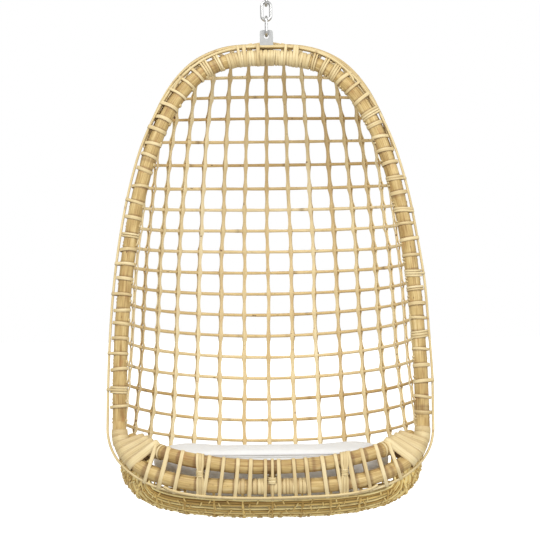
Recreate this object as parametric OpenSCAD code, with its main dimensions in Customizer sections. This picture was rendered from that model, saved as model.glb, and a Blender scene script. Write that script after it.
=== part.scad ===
// Hanging egg chair: a woven rattan shell in a bent pole hoop, hung from a ceiling plate by a short chain.
// Origin: middle of the ceiling plate's upper face. +X is the sitter's left, -Y the open front, +Z up.

/* [Hoop] */
// Half width of the front hoop, to the middle of its pole
hoop_half_w = 352; // [310:1:380]
// Height of the hoop's arch above its widest point
hoop_arch_h = 860; // [780:1:940]
// Drop of the hoop's foot run below its widest point
hoop_foot_h = 133; // [110:1:150]
// Radius of the hoop's pole
hoop_r = 16.5; // [14:0.5:19]
// Lean of the hoop, its foot forward of its top
lean = 6; // [5:0.5:10]
// How far the middle of the foot run bows forward
foot_bow = 145; // [110:1:180]

/* [Shell] */
// How far the back lies behind the top of the hoop
back_depth = 378; // [330:1:430]
// Rise of the shell's roof above the hoop's top
roof_rise = 45; // [30:1:55]
// Drop of the basket below the lower rail
basket_drop = 94; // [85:1:105]
// Half thickness of a row strand
row_r = 4; // [3:0.25:4.5]
// Width of a rib strand
rib_w = 7; // [5:0.5:9]
// Thickness of a rib strand
rib_t = 4.5; // [3:0.25:6]
// Distance between rows on the back
row_pitch = 55.5; // [50:0.5:62]
// Distance between rows on the roof and upper back
roof_row_pitch = 62; // [56:0.5:70]
// Distance between rows on the front of the basket
front_row_pitch = 30; // [26:1:40]
// Distance between ribs
rib_pitch = 66; // [60:0.5:72]
// Number of ribs on each side of the middle one
side_ribs = 9; // [7:1:9]

/* [Front rails] */
// Radius of the seat rail
rail_r = 16; // [13:0.5:18]
// Height of the seat rail above the lower rail, middle to middle
rail_gap = 43; // [40:1:52]
// Rise of the seat rail's ends above its middle
rail_rise = 60; // [50:1:75]
// Radius of the posts between the rails
post_r = 9; // [7:0.5:12]
// Distance of the outer posts from the middle one
post_pitch = 160; // [140:1:180]

/* [Bindings] */
// Thickness of the binding cane
cane_t = 1.8; // [1.2:0.1:2.4]
// Width of a binding on the hoop
cane_w = 7; // [5:0.5:9]
// Half length of the close lashing at the top of the hoop
lashing_half_l = 112; // [90:1:130]
// Width of a corner band
corner_w = 14; // [10:0.5:16]
// Distance between the bindings round both rails
rail_binding_pitch = 30; // [26:1:36]
// Radius of the trim strand
trim_r = 3.4; // [2.5:0.1:4.5]

/* [Cushion] */
// Gap between each side of the cushion and the widest line of the hoop
cushion_side_gap = 70; // [64:1:90]
// Gap between the cushion's back edge and the shell's back
cushion_back_gap = 56; // [50:1:80]
// Thickness of the cushion at its edge
cushion_edge_t = 46; // [36:1:60]
// Crown of the cushion's top over its edge
cushion_crown = 13; // [8:1:20]
// Radius of the piping round its top edge
piping_r = 3; // [2:0.25:4]

/* [Chain] */
// Radius of the links' wire
wire_r = 3.75; // [3:0.25:4]
// Inner length of a link
link_inner_l = 37; // [34:0.5:42]
// Inner width of a link
link_inner_w = 14; // [12:0.5:16]

/* [Hanger plate] */
// Width of the hanger plate
plate_w = 32; // [28:1:38]
// Thickness of the hanger plate
plate_t = 4; // [3:0.5:5]
// Radius of the hole that the chain passes through
plate_hole_r = 6; // [5:0.25:7]
// Radius of the two bolts that hold the plate to the hoop
bolt_r = 3; // [2.5:0.5:3.5]

/* [Ceiling fitting] */
// Radius of the ceiling plate
ceiling_r = 45; // [42:1:60]
// Thickness of the ceiling plate
ceiling_t = 5; // [4:0.5:8]
// Radius of the housing below the plate
housing_r = 19; // [17:0.5:22]
// Height of the housing below the plate
housing_h = 22; // [20:0.5:30]
// Radius of the screw holes
screw_hole_r = 2.75; // [2:0.25:3.25]
// Radius of the circle the screw holes lie on
screw_circle_r = 33; // [31:0.5:36]
// Radius of the swivel's shank
shank_r = 5; // [4:0.25:6]
// Radius of the eye's wire
eye_wire_r = 4.5; // [4:0.25:5]
// Radius of the eye, to the middle of its wire
eye_r = 13; // [12:0.5:16]

/* [Hidden] */

// Clearance between pieces that rest on each other
seat_gap = 0.3;
// Running clearance of the swivel's shank, on the radius
run_gap = 0.08;
// Play left between two pieces that only lie side by side
side_gap = 0.5;
fine = 48;

// ---------- chain and ceiling fitting: heights, from the ceiling down ----------
housing_z = -ceiling_t - housing_h;
housing_floor = 10;
head_floor_z = housing_z + housing_floor;
head_bore_r = 13;
washer_t = 2;
washer_r = 12;
nut_h = 8;
nut_r = 9.8;
nut_gap = 0.1;
nut_z = head_floor_z + washer_t + nut_gap;
thread_end_l = 1.5;
shank_top_z = nut_z + nut_h + thread_end_l;
collar_t = 3;
collar_r = 9;
collar_z = housing_z - seat_gap - collar_t;
neck_l = 4;
eye_z = collar_z - neck_l - eye_wire_r - eye_r;
link_end_r = link_inner_w / 2 + wire_r;
link_straight_l = link_inner_l - link_inner_w;
// A link hangs with its upper inside on the wire above, seat_gap clear of it
top_link_z = eye_z - eye_r + eye_wire_r + seat_gap - link_inner_l / 2;
link_step = link_inner_l - seat_gap;
middle_link_z = top_link_z - link_step;
bottom_link_z = middle_link_z - link_step;
// Middle of the bottom link's lower wire: the chair hangs and swings on it
hang_z = bottom_link_z - link_inner_l / 2 - wire_r;
plate_play = seat_gap + 0.2;

// ---------- numbers of the hoop and shell curves ----------
arch_power_x = 3;
arch_power_z = 2.35;
foot_power_x = 3;
foot_power_z = 2.5;
bow_power = 1.35;
hoop_drop = 57;
hoop_y = -(hoop_r + seat_gap + plate_t / 2);
hoop_sides = 8;
trim_sides = 4;
// Height of the hoop's top pole, below the hang point
hoop_top_z = -hoop_drop;
hoop_wide_z = hoop_top_z - hoop_arch_h;
hoop_foot_z = hoop_wide_z - hoop_foot_h;
shell_bottom_z = hoop_foot_z - basket_drop;
shell_h = hoop_top_z - shell_bottom_z;

// ---------- small tools ----------
function spow(v, e) = sign(v) * pow(abs(v), e);
function unit(v) = v / norm(v);
function mix(a, b, f) = a + (b - a) * f;
function clamp01(v) = min(1, max(0, v));
function flip(p) = [-p[0], p[1], p[2]];
function reversed(list) = [for (i = [len(list) - 1:-1:0]) list[i]];

// Running length along a list of points
function lengths(pts) = [
    for (i = 0, s = 0; i < len(pts); i = i + 1, s = i < len(pts) ? s + norm(pts[i] - pts[i - 1]) : s) s
];
// A path is three look-up tables from length to coordinate
function path(pts) = let (s = lengths(pts)) [for (k = [0:2]) [for (i = [0:len(pts) - 1]) [s[i], pts[i][k]]]];
function path_l(p) = p[0][len(p[0]) - 1][0];
function at(p, s) = [for (k = [0:2]) lookup(s, p[k])];

function catmull(a, b, c, d, t) =
    0.5 * ((2 * b) + (c - a) * t + (2 * a - 5 * b + 4 * c - d) * t * t + (3 * b - a - 3 * c + d) * t * t * t);
function spline(pts, n) = let (last = len(pts) - 1) concat(
    [
        for (i = [0:last - 1], j = [0:n - 1])
            let (a = i > 0 ? pts[i - 1] : 2 * pts[0] - pts[1])
            let (d = i + 2 <= last ? pts[i + 2] : 2 * pts[last] - pts[last - 1])
            catmull(a, pts[i], pts[i + 1], d, j / n)
    ],
    [pts[last]]
);

// Distance of p from the line between a and b
function seg_dist(p, a, b) = let (f = clamp01((p - a) * (b - a) / ((b - a) * (b - a)))) norm(p - mix(a, b, f));
function line_dist(p, pts) = min([for (i = [0:len(pts) - 2]) seg_dist(p, pts[i], pts[i + 1])]);

// ---------- hoop ----------
// Middle of the hoop's pole at angle a: 0 is its top, 180 the middle of its foot run
function hoop_pt(a) =
    let (s = sin(a), c = cos(a), arch = c >= 0)
    let (x = hoop_half_w * spow(s, 2 / (arch ? arch_power_x : foot_power_x)))
    let (share = pow(abs(c), 2 / (arch ? arch_power_z : foot_power_z)))
    let (z = hoop_wide_z + (arch ? hoop_arch_h * share : -hoop_foot_h * share))
    let (bow = arch ? 0 : foot_bow * pow(share, bow_power))
    [x, hoop_y + (z - hoop_top_z) * tan(lean) - bow, z];
hoop_fine = [for (i = [0:180]) hoop_pt(i)];
hoop_path = path(hoop_fine);
hoop_l = path_l(hoop_path);
function hoop_at(s) = s < 0 ? flip(at(hoop_path, -s)) : at(hoop_path, min(s, hoop_l));
function hoop_heading(s) = unit(hoop_at(s + 2) - hoop_at(s - 2));
hoop_normal = [0, cos(lean), -sin(lean)];
// Direction away from the inside of the hoop, square to the pole
function hoop_out(s) = unit(cross(hoop_heading(s), hoop_normal));
hoop_line = [for (i = [0:120]) hoop_at(hoop_l * i / 120)];

// ---------- shell ----------
roof_share = -0.028;
// Back line of the shell as shares of back_depth and shell_h, from the top round the back and under the seat
back_shares = [
    [0.16, roof_share], [0.40, -0.023], [0.635, 0.021], [0.82, 0.113], [0.926, 0.241], [0.984, 0.388], [1, 0.534],
    [0.985, 0.681], [0.935, 0.80], [0.79, 0.905], [0.45, 0.975], [0.05, 1], [-0.38, 0.982]
];
function share_z(f) = hoop_top_z + (f < 0 ? f / roof_share * roof_rise : -f * shell_h);
foot_mid = hoop_pt(180);
// The back line ends here beside the middle of the foot run
basket_end = [0, 13, -11];
back_pts = concat(
    [hoop_pt(0)],
    [for (q = back_shares) [0, hoop_y + q[0] * back_depth, share_z(q[1])]],
    [foot_mid + basket_end]
);
back_path = path(spline(back_pts, 10));
back_l = path_l(back_path);

first_row = 74.5;
roof_rows = 8;
seat_row = 21;
front_row = 27;
last_gap = 40;
function row_s(i) =
    first_row + min(i, roof_rows) * roof_row_pitch + max(min(i, front_row) - roof_rows, 0) * row_pitch
    + max(i - front_row, 0) * front_row_pitch;
row_n = front_row + 1 + floor((back_l - last_gap - row_s(front_row)) / front_row_pitch);
// Shares of the hoop's half length at which rows end, for shares of the back line
row_places = [
    [0, 0], [0.04, 0.04], [0.15, 0.148], [0.25, 0.255], [0.35, 0.366], [0.4, 0.417], [0.45, 0.468], [0.5, 0.517],
    [0.55, 0.569], [0.58, 0.604], [0.665, 0.69], [0.755, 0.742], [0.875, 0.774], [1, 0.821]
];
function hoop_share(u) = lookup(u, row_places);
// How far the rows stand out beyond the hoop at their sides, as shares of its half width
row_flares = [
    [0.04, 0], [0.08, 0.115], [0.16, 0.12], [0.35, 0.034], [0.55, 0.028], [0.68, 0.068], [0.8, 0.085], [0.9, 0.05],
    [1, 0.03]
];
flare_power = 0.6;
// Brings the peak of the flare's curve to about 1
flare_scale = 2;

row_power_y = 3.3;
// Powers of a row's fall from its ends to its middle, for shares of the back line: higher where it hangs more evenly
row_falls = [[0.38, 0.606], [0.5, 1.05], [0.665, 1.05], [0.735, 0.606]];
row_power_back = 1.9;
row_power_seat = 2.8;
// Share of the back line at which the rows start to turn from the back's shape to the seat's
row_turn_from = 0.62;
row_turn_over = 0.15;
// A row: [half width, middle of its chord, vector from there to its middle, power in x, place on the hoop, flare,
// power of its fall]
function row_def(i) =
    let (u = row_s(i) / back_l, s = hoop_share(u) * hoop_l, h = hoop_at(s), c = [0, h[1], h[2]])
    let (m = at(back_path, row_s(i)))
    let (power = mix(row_power_back, row_power_seat, clamp01((u - row_turn_from) / row_turn_over)))
    [h[0], c, m - c, power, s, flare_scale * lookup(u, row_flares) * hoop_half_w, lookup(u, row_falls)];
function row_pt(r, a) =
    let (c = max(0, cos(a)), flare = r[5] * sign(a) * pow(sin(a), 2) * pow(c, flare_power))
    r[1] + [r[0] * spow(sin(a), 2 / r[3]) + flare, r[2][1] * pow(c, 2 / row_power_y), r[2][2] * pow(c, r[6])];
// Angle for a share t of the way from the middle of a row to its end, evenly spread
function row_a(t) = sign(t) * 90 * (1 - pow(1 - min(1, abs(t)), row_power_y / 2));
function row_heading(r, a) = unit(row_pt(r, a + 0.2) - row_pt(r, a - 0.2));

// Share at which a row's end comes up against the hoop
function row_room(r, t) =
    let (a = row_a(t), p = row_pt(r, a), turn = norm(cross(row_heading(r, a), unit(hoop_at(r[4]) - p))))
    line_dist(p, hoop_line) - hoop_r - 2 * side_gap - row_r * turn;
function row_end(r, lo = 0.4, hi = 1, n = 9) =
    n == 0 ? lo : let (m = (lo + hi) / 2) row_room(r, m) > 0 ? row_end(r, m, hi, n - 1) : row_end(r, lo, m, n - 1);
rows = [for (i = [0:row_n - 1]) row_def(i)];
row_ends = [for (r = rows) row_end(r)];
// Direction out of the shell at angle a of row i
function row_out(i, a) =
    let (down = row_pt(rows[min(i + 1, row_n - 1)], a) - row_pt(rows[max(i - 1, 0)], a))
    unit(cross(row_heading(rows[i], a), down));
row_section = round_section(row_r, 4);

// Angle on a row at a length from its middle, and the row's half length
measure_steps = 40;
row_tables = [
    for (r = rows)
        let (t = [for (j = [0:measure_steps]) row_a(j / measure_steps)], s = lengths([for (a = t) row_pt(r, a)]))
        [for (j = [0:measure_steps]) [s[j], t[j]]]
];
function row_half_l(i) = row_tables[i][measure_steps][0];
// Shares of rib_pitch at shares of the back line: the ribs draw together on the roof
rib_spread = [[0.04, 0.64], [0.14, 0.7], [0.25, 0.82], [0.4, 0.93], [0.65, 1]];
function rib_step(i) = rib_pitch * lookup(row_s(i) / back_l, rib_spread);
// Room a rib needs along a row between its crossing and the hoop: more where the roof's rows turn tightly
rib_room_min = 13;
rib_room_top = 66;
rib_room_step = 6;
function rib_room(i) = max(hoop_r + rib_room_min, rib_room_top - rib_room_step * i);
// Angles of a row's stations: one where each rib crosses, and one half way between on the seat
end_room = 8;
function row_stations(i) =
    let (end_a = row_a(row_ends[i]), step = i < seat_row ? rib_step(i) : rib_step(i) / 2)
    let (end_s = lookup(end_a, [for (q = row_tables[i]) [q[1], q[0]]]))
    let (n = floor((end_s - end_room) / step), half = [for (j = [1:n]) lookup(j * step, row_tables[i])])
    concat([-end_a], [for (a = reversed(half)) -a], [0], half, [end_a]);
function rib_left(i, k) = row_half_l(i) - rib_room(i) - k * rib_step(i);
function rib_crosses(k) = [for (i = [0:row_n - 1]) if (rib_left(i, k) > 0) i];
cross_gap = 0.9;
rib_off = row_r + cross_gap;
// A rib's end stays this share of the way clear of the rows' own ends
rib_end_share = 0.38;
function rib_fits(i, j) = j < 0 || j >= row_n ? true : abs(rows[i][4] - rows[j][4]) > 2 * row_r + 2 * rib_w;
// Place on the hoop where rib k ends, beyond the crossings with rows i (its last) and j (past it)
function rib_hoop_s(i, j, k) =
    j < 0 ? k * rib_step(0) :
    j >= row_n ? hoop_l - k * rib_step(row_n - 1) :
    let (f = rib_left(i, k) / (rib_left(i, k) - rib_left(j, k)))
    mix(rows[i][4], rows[j][4], max(rib_end_share, min(1 - rib_end_share, f)));
// Rib crossings: [point, direction out of the shell]
function rib_cross(i, k) =
    let (a = lookup(k * rib_step(i), row_tables[i])) [row_pt(rows[i], a), row_out(i, a)];
function rib_end(i, j, k) =
    let (q = rib_cross(i, k), h = hoop_at(rib_hoop_s(i, j, k)), gap = norm(q[0] - h))
    let (reach = hoop_r + rib_off + rib_t + 1)
    gap < reach + 6 || !rib_fits(i, j) || (k == 0 && j < 0) ? [] : [[h + (q[0] - h) * reach / gap, q[1]]];
function rib_line(k) =
    let (c = rib_crosses(k), first = c[0], last = c[len(c) - 1])
    concat(rib_end(first, first - 1, k), [for (i = c) rib_cross(i, k)], rib_end(last, last + 1, k));
// Number of a rib's points that lie on the roof and back
function rib_back_n(k) =
    let (c = rib_crosses(k)) len(rib_end(c[0], c[0] - 1, k)) + len([for (i = c) if (i < seat_row) i]);

// ---------- sweeps ----------
// Tube through pts with a section that is a list of [out, across]; outs gives the out direction at each point
module sweep(pts, outs, section, closed = false) {
    n = len(pts);
    m = len(section);
    rings = [
        for (i = [0:n - 1])
            let (a = pts[closed ? (i + n - 1) % n : max(i - 1, 0)], b = pts[closed ? (i + 1) % n : min(i + 1, n - 1)])
            let (t = unit(b - a), side = unit(cross(t, outs[i])), out = cross(side, t))
            for (q = section) pts[i] + out * q[0] + side * q[1]
    ];
    last = closed ? n - 1 : n - 2;
    walls = [
        for (i = [0:last], j = [0:m - 1])
            let (p = i * m, q = ((i + 1) % n) * m, k = (j + 1) % m)
            each [[p + j, q + k, p + k], [p + j, q + j, q + k]]
    ];
    caps = closed ? [] : [
        for (j = [1:m - 2]) each [[0, j, j + 1], [(n - 1) * m, (n - 1) * m + j + 1, (n - 1) * m + j]]
    ];
    polyhedron(rings, concat(walls, caps), convexity = 10);
}
function round_section(r, n) = [for (i = [0:n - 1]) [r * cos(360 * i / n), r * sin(360 * i / n)]];

// Split cane: the outer ribs lie flat on the rows, the inner ones turn their edge to them
module rib_strand(q, inside) {
    way = inside ? -1 : 1;
    half = rib_w / 2;
    section = inside ? [[rib_t, -half], [rib_t, half], [0, 0]] : [[0, half], [0, -half], [rib_t, 0]];
    pts = [for (e = q) e[0] + e[1] * way * rib_off];
    outs = [for (e = q) e[1] * way];
    sweep(pts, outs, section);
}
module rib_set(inside, back) {
    for (k = [0:side_ribs]) {
        line = rib_line(k);
        n = rib_back_n(k);
        cut = min(n, len(line));
        // The seat part starts half way between two rows, where the back part stops short of it
        join_share = 0.5;
        joint = cut < len(line) ? [mix(line[cut - 1][0], line[cut][0], join_share), line[cut - 1][1]] : [];
        gap = cut < len(line) ? unit(line[cut][0] - line[cut - 1][0]) * seat_gap : [0, 0, 0];
        part = back ?
            concat([for (i = [0:cut - 1]) line[i]], joint == [] ? [] : [[joint[0] - gap, joint[1]]]) :
            concat(joint == [] ? [] : [joint], cut < len(line) ? [for (i = [cut:len(line) - 1]) line[i]] : []);
        if (len(part) > 1) {
            rib_strand(part, inside);
            if (k > 0) rib_strand([for (e = part) [flip(e[0]), flip(e[1])]], inside);
        }
    }
}

// ---------- hoop, rails and what is bound to them ----------
// Places along half of the hoop: close together round its corner
corner_from = 0.626 * hoop_l;
corner_to = 0.85 * hoop_l;
hoop_stations = concat(
    [for (i = [0:37]) corner_from * i / 38],
    [for (i = [0:19]) mix(corner_from, corner_to, i / 20)],
    [for (i = [0:8]) mix(corner_to, hoop_l, i / 9)]
);
station_n = len(hoop_stations);
// Once round: down one half from the top, and back up the other
function once_round(half) = concat(half, [for (i = [len(half) - 2:-1:1]) flip(half[i])]);
hoop_mids = concat([for (s = hoop_stations) hoop_at(s)], [foot_mid]);
hoop_outs = concat([for (s = hoop_stations) hoop_out(s)], [hoop_out(hoop_l)]);
band_play = side_gap + 0.1;
band_r = hoop_r + band_play;
loop_play = 0.9;
trim_off = hoop_r + loop_play + cane_t + 2 * side_gap + trim_r;

function rail_pt(x) =
    let (f = abs(x) / hoop_half_w)
    [x, foot_mid[1] + rail_back * pow(f, 4), foot_mid[2] + rail_gap + rail_rise * f * f];
// The rail comes back to the hoop's side at this share of the hoop's half width
rail_meet = 0.93;
rail_end_z = foot_mid[2] + rail_gap + rail_rise * rail_meet * rail_meet;
rail_end_y = hoop_y + (rail_end_z - hoop_top_z) * tan(lean);
rail_back = (rail_end_y - foot_mid[1]) / pow(rail_meet, 4);
function rail_heading(x) = unit(rail_pt(x + 1) - rail_pt(x - 1));
hoop_by_z = [for (p = [for (i = [0:120]) hoop_l * i / 120]) [-hoop_at(p)[2], p]];
rail_joint_s = lookup(-rail_end_z, hoop_by_z);
function rail_room(x) =
    let (p = rail_pt(x), turn = norm(cross(rail_heading(x), unit(hoop_at(rail_joint_s) - p))))
    line_dist(p, hoop_line) - hoop_r - 3 * side_gap - rail_r * turn;
function rail_end(lo, hi, n = 10) =
    n == 0 ? lo : let (m = (lo + hi) / 2) rail_room(m) > 0 ? rail_end(m, hi, n - 1) : rail_end(lo, m, n - 1);
rail_x = rail_end(hoop_half_w / 2, hoop_half_w);
rail_steps = 24;
rail_sides = 10;

// Bar of radius r from a to b
module bar(a, b, r) {
    d = b - a;
    translate(a) rotate([0, acos(d[2] / norm(d)), atan2(d[1], d[0])]) cylinder(r = r, h = norm(d), $fn = fine);
}
// Flat band of width w round a pole, with its inside at radius r
module band(mid, way, r, w) {
    translate(mid) rotate([0, acos(way[2]), atan2(way[1], way[0])]) difference() {
        cylinder(r = r + cane_t, h = w, center = true, $fn = fine);
        cylinder(r = r, h = w + 2, center = true, $fn = fine);
    }
}
module hoop_band(s, w) {
    band(hoop_at(s), hoop_heading(s), band_r, w);
}
module both_hoop_bands(s, w, left) {
    if (left) mirror([1, 0, 0]) hoop_band(s, w);
    else hoop_band(s, w);
}
// Loop round two poles: mid lies between them, half_d is half their distance apart
module twin_loop(mid, turn, half_d, r, w) {
    translate(mid) rotate(turn) rotate([0, 90, 0]) linear_extrude(w, center = true) difference() {
        twin_outline(half_d, r + cane_t);
        twin_outline(half_d, r);
    }
}
module twin_outline(half_d, r) {
    square([2 * half_d, 2 * r], center = true);
    for (way = [-1, 1]) translate([way * half_d, 0]) circle(r = r, $fn = fine);
}

module in_chair() {
    translate([0, 0, hang_z]) children();
}

plate_bolt_x = 9;
bolt_head_r = 6.5;
bolt_head_t = 2.5;
bolt_play = 0.2;
bolt_nut_r = 6.2;
bolt_nut_t = 5;
bolt_front_y = hoop_y - hoop_r - side_gap;
plate_hole_z = wire_r + plate_play - plate_hole_r;
plate_margin = 9;
plate_top_z = plate_hole_z + plate_hole_r + plate_margin;
plate_foot_lap = 14;
plate_foot_z = hoop_top_z - plate_foot_lap;
plate_corner_r = 7;

module front_hoop() {
    color("burlywood") in_chair() difference() {
        sweep(once_round(hoop_mids), once_round(hoop_outs), round_section(hoop_r, hoop_sides), true);
        for (way = [-1, 1])
            translate([way * plate_bolt_x, hoop_y, hoop_top_z]) rotate([90, 0, 0])
                cylinder(r = bolt_r + bolt_play, h = 3 * hoop_r, center = true, $fn = fine);
    }
}
module seat_rail() {
    color("burlywood") in_chair() sweep(
        [for (i = [0:rail_steps]) rail_pt(rail_x * (2 * i / rail_steps - 1))],
        [for (i = [0:rail_steps]) [0, 0, 1]],
        round_section(rail_r, rail_sides)
    );
}
module rail_posts() {
    color("tan") in_chair() for (x = [-post_pitch, 0, post_pitch]) {
        low = lower_rail_pt(x);
        high = rail_pt(x);
        up = unit(high - low);
        slope = abs(rail_heading(x)[2]);
        low_slope = abs(unit(lower_rail_pt(x + 1) - lower_rail_pt(x - 1))[2]);
        bar(low + up * (hoop_r + seat_gap + post_r * low_slope), high - up * (rail_r + seat_gap + post_r * slope), post_r);
    }
}
// The hoop's foot run at a distance x from the middle
foot_by_x = [for (i = [180:-1:92]) [hoop_pt(i)[0], i]];
function lower_rail_pt(x) = let (p = hoop_pt(lookup(abs(x), foot_by_x))) x < 0 ? flip(p) : p;

module outer_trim() {
    mids = [for (i = [0:station_n]) hoop_mids[i] + hoop_outs[i] * trim_off];
    color("wheat") in_chair() sweep(
        once_round(mids), once_round(hoop_outs), round_section(trim_r, trim_sides), true
    );
}
rail_trim_turn = 18.5;
rail_trim_from = corner_to;
rail_trim_steps = 12;
module rail_trim() {
    half = [for (i = [0:rail_trim_steps]) mix(rail_trim_from, hoop_l, i / rail_trim_steps)];
    outs = [for (s = half) unit(hoop_out(s) * cos(rail_trim_turn) + hoop_normal * sin(rail_trim_turn))];
    mids = [for (i = [0:rail_trim_steps]) hoop_at(half[i]) + outs[i] * trim_off];
    color("wheat") in_chair() sweep(
        concat(mids, [for (i = [rail_trim_steps - 1:-1:0]) flip(mids[i])]),
        concat(outs, [for (i = [rail_trim_steps - 1:-1:0]) flip(outs[i])]),
        round_section(trim_r, trim_sides)
    );
}

// ---------- lattice ----------
module row_set(from, to) {
    for (i = [from:to]) {
        stations = row_stations(i);
        sweep([for (a = stations) row_pt(rows[i], a)], [for (a = stations) row_out(i, a)], row_section);
    }
}
module back_rows() {
    color("tan") in_chair() row_set(0, seat_row - 1);
}
module seat_rows() {
    color("tan") in_chair() row_set(seat_row, row_n - 1);
}
module inner_back_ribs() {
    color("wheat") in_chair() rib_set(true, true);
}
module outer_back_ribs() {
    color("wheat") in_chair() rib_set(false, true);
}
module inner_seat_ribs() {
    color("wheat") in_chair() rib_set(true, false);
}
module outer_seat_ribs() {
    color("wheat") in_chair() rib_set(false, false);
}

// ---------- bindings ----------
// Half way between the ends of two rows
function between_rows(i) = (rows[i][4] + rows[i + 1][4]) / 2;
corner_row = 18;
module hoop_bindings(left) {
    for (i = [0:corner_row - 1])
        if (between_rows(i) > lashing_half_l + cane_w) both_hoop_bands(between_rows(i), cane_w, left);
}
module hoop_bindings_left() {
    color("cornsilk") in_chair() hoop_bindings(true);
}
module hoop_bindings_right() {
    color("cornsilk") in_chair() hoop_bindings(false);
}
lashing_w = 6;
lashing_step = 6.6;
module top_lashing() {
    from = plate_w / 2 + lashing_w;
    color("cornsilk") in_chair() for (s = [from:lashing_step:lashing_half_l], left = [false, true])
        if (row_ends_clear(s)) both_hoop_bands(s, lashing_w, left);
}
// True where a band of the lashing at s passes clear of the ends of the rows
function row_ends_clear(s) = min([for (r = rows) abs(s - r[4])]) > row_r + lashing_w / 2 + 3 * side_gap;
module corner_bands(left) {
    for (i = [corner_row:corner_row + 1]) both_hoop_bands(between_rows(i), corner_w, left);
    side = left ? -1 : 1;
    for (i = [1:2]) {
        x = side * (rail_x - i * (corner_w + 2));
        band(rail_pt(x), rail_heading(x), rail_r + loop_play, corner_w);
    }
}
module corner_bands_left() {
    color("cornsilk") in_chair() corner_bands(true);
}
module corner_bands_right() {
    color("cornsilk") in_chair() corner_bands(false);
}
// The bindings round both rails reach out to this share of the hoop's half width
rail_binding_share = 0.62;
rail_binding_half_n = floor(rail_binding_share * hoop_half_w / rail_binding_pitch);
module rail_bindings() {
    color("cornsilk") in_chair()
        for (i = [0:rail_binding_half_n - 1], way = [-1, 1]) {
            x = way * (i + 0.5) * rail_binding_pitch;
            low = lower_rail_pt(x);
            high = rail_pt(x);
            d = high - low;
            twin_loop((low + high) / 2, loop_turn(x, d), norm(d) / 2, max(hoop_r, rail_r) + loop_play, cane_w);
        }
}
// Turns a loop drawn in the YZ plane so that it stands square to the rails and in line with both
function loop_turn(x, d) =
    let (low_way = unit(lower_rail_pt(x + 1) - lower_rail_pt(x - 1)), way = unit(low_way + rail_heading(x)))
    [atan2(-d[1], d[2]), -asin(way[2]), asin(way[1])];

// ---------- hanger plate ----------
module plate_outline() {
    half = plate_w / 2;
    translate([-half, plate_foot_z]) square([plate_w, plate_top_z - plate_corner_r - plate_foot_z]);
    translate([-half + plate_corner_r, plate_top_z - plate_corner_r - 1])
        square([plate_w - 2 * plate_corner_r, plate_corner_r + 1]);
    for (way = [-1, 1])
        translate([way * (half - plate_corner_r), plate_top_z - plate_corner_r]) circle(r = plate_corner_r, $fn = fine);
}
module hanger_plate() {
    color("silver") in_chair() rotate([90, 0, 0]) difference() {
        linear_extrude(plate_t, center = true) plate_outline();
        translate([0, plate_hole_z, 0]) cylinder(r = plate_hole_r, h = 2 * plate_t, center = true, $fn = fine);
        for (way = [-1, 1]) translate([way * plate_bolt_x, hoop_top_z, 0])
            cylinder(r = bolt_r + bolt_play, h = 2 * plate_t, center = true, $fn = fine);
    }
}
module hanger_bolts() {
    color("silver") in_chair() for (way = [-1, 1])
        translate([way * plate_bolt_x, bolt_front_y, hoop_top_z]) rotate([-90, 0, 0]) {
            translate([0, 0, -bolt_head_t]) cylinder(r = bolt_head_r, h = bolt_head_t, $fn = fine);
            cylinder(r = bolt_r, h = plate_t / 2 - bolt_front_y + bolt_nut_t + 2, $fn = fine);
        }
}
module hanger_nuts() {
    color("silver") in_chair() for (way = [-1, 1])
        translate([way * plate_bolt_x, plate_t / 2, hoop_top_z]) rotate([-90, 0, 0]) difference() {
            cylinder(r = bolt_nut_r, h = bolt_nut_t, $fn = 6);
            translate([0, 0, -1]) cylinder(r = bolt_r + run_gap, h = bolt_nut_t + 2, $fn = fine);
        }
}

// ---------- chain and ceiling fitting ----------
// Link in the XZ plane, its middle at the origin
module link() {
    for (way = [-1, 1]) {
        translate([way * (link_inner_w / 2 + wire_r), 0, -link_straight_l / 2])
            cylinder(r = wire_r, h = link_straight_l, $fn = fine);
        translate([0, 0, way * link_straight_l / 2]) rotate([90, 0, 0]) rotate([0, 0, way > 0 ? 0 : 180])
            rotate_extrude(angle = 180, $fn = 2 * fine) translate([link_end_r, 0]) circle(r = wire_r, $fn = fine);
    }
}
module chain_link_top() {
    color("silver") translate([0, 0, top_link_z]) rotate([0, 0, 90]) link();
}
module chain_link_middle() {
    color("silver") translate([0, 0, middle_link_z]) link();
}
module chain_link_bottom() {
    color("silver") translate([0, 0, bottom_link_z]) rotate([0, 0, 90]) link();
}
module ceiling_plate() {
    color("gainsboro") difference() {
        union() {
            translate([0, 0, -ceiling_t]) cylinder(r = ceiling_r, h = ceiling_t, $fn = 2 * fine);
            translate([0, 0, housing_z]) cylinder(r = housing_r, h = housing_h + 1, $fn = 2 * fine);
        }
        translate([0, 0, head_floor_z]) cylinder(r = head_bore_r, h = -head_floor_z + 1, $fn = fine);
        translate([0, 0, housing_z - 1]) cylinder(r = shank_r + run_gap, h = housing_h, $fn = fine);
        for (i = [0:3]) rotate([0, 0, 45 + 90 * i]) translate([screw_circle_r, 0, -ceiling_t - 1])
            cylinder(r = screw_hole_r, h = ceiling_t + 2, $fn = fine);
    }
}
module thrust_washer() {
    color("goldenrod") translate([0, 0, head_floor_z]) difference() {
        cylinder(r = washer_r, h = washer_t, $fn = fine);
        translate([0, 0, -1]) cylinder(r = shank_r + 2 * run_gap, h = washer_t + 2, $fn = fine);
    }
}
module swivel_eye() {
    color("silver") {
        translate([0, 0, eye_z + eye_r]) cylinder(r = shank_r, h = shank_top_z - eye_z - eye_r, $fn = fine);
        translate([0, 0, collar_z]) cylinder(r = collar_r, h = collar_t, $fn = fine);
        translate([0, 0, eye_z]) rotate([90, 0, 0])
            rotate_extrude($fn = 2 * fine) translate([eye_r, 0]) circle(r = eye_wire_r, $fn = fine);
    }
}
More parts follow.
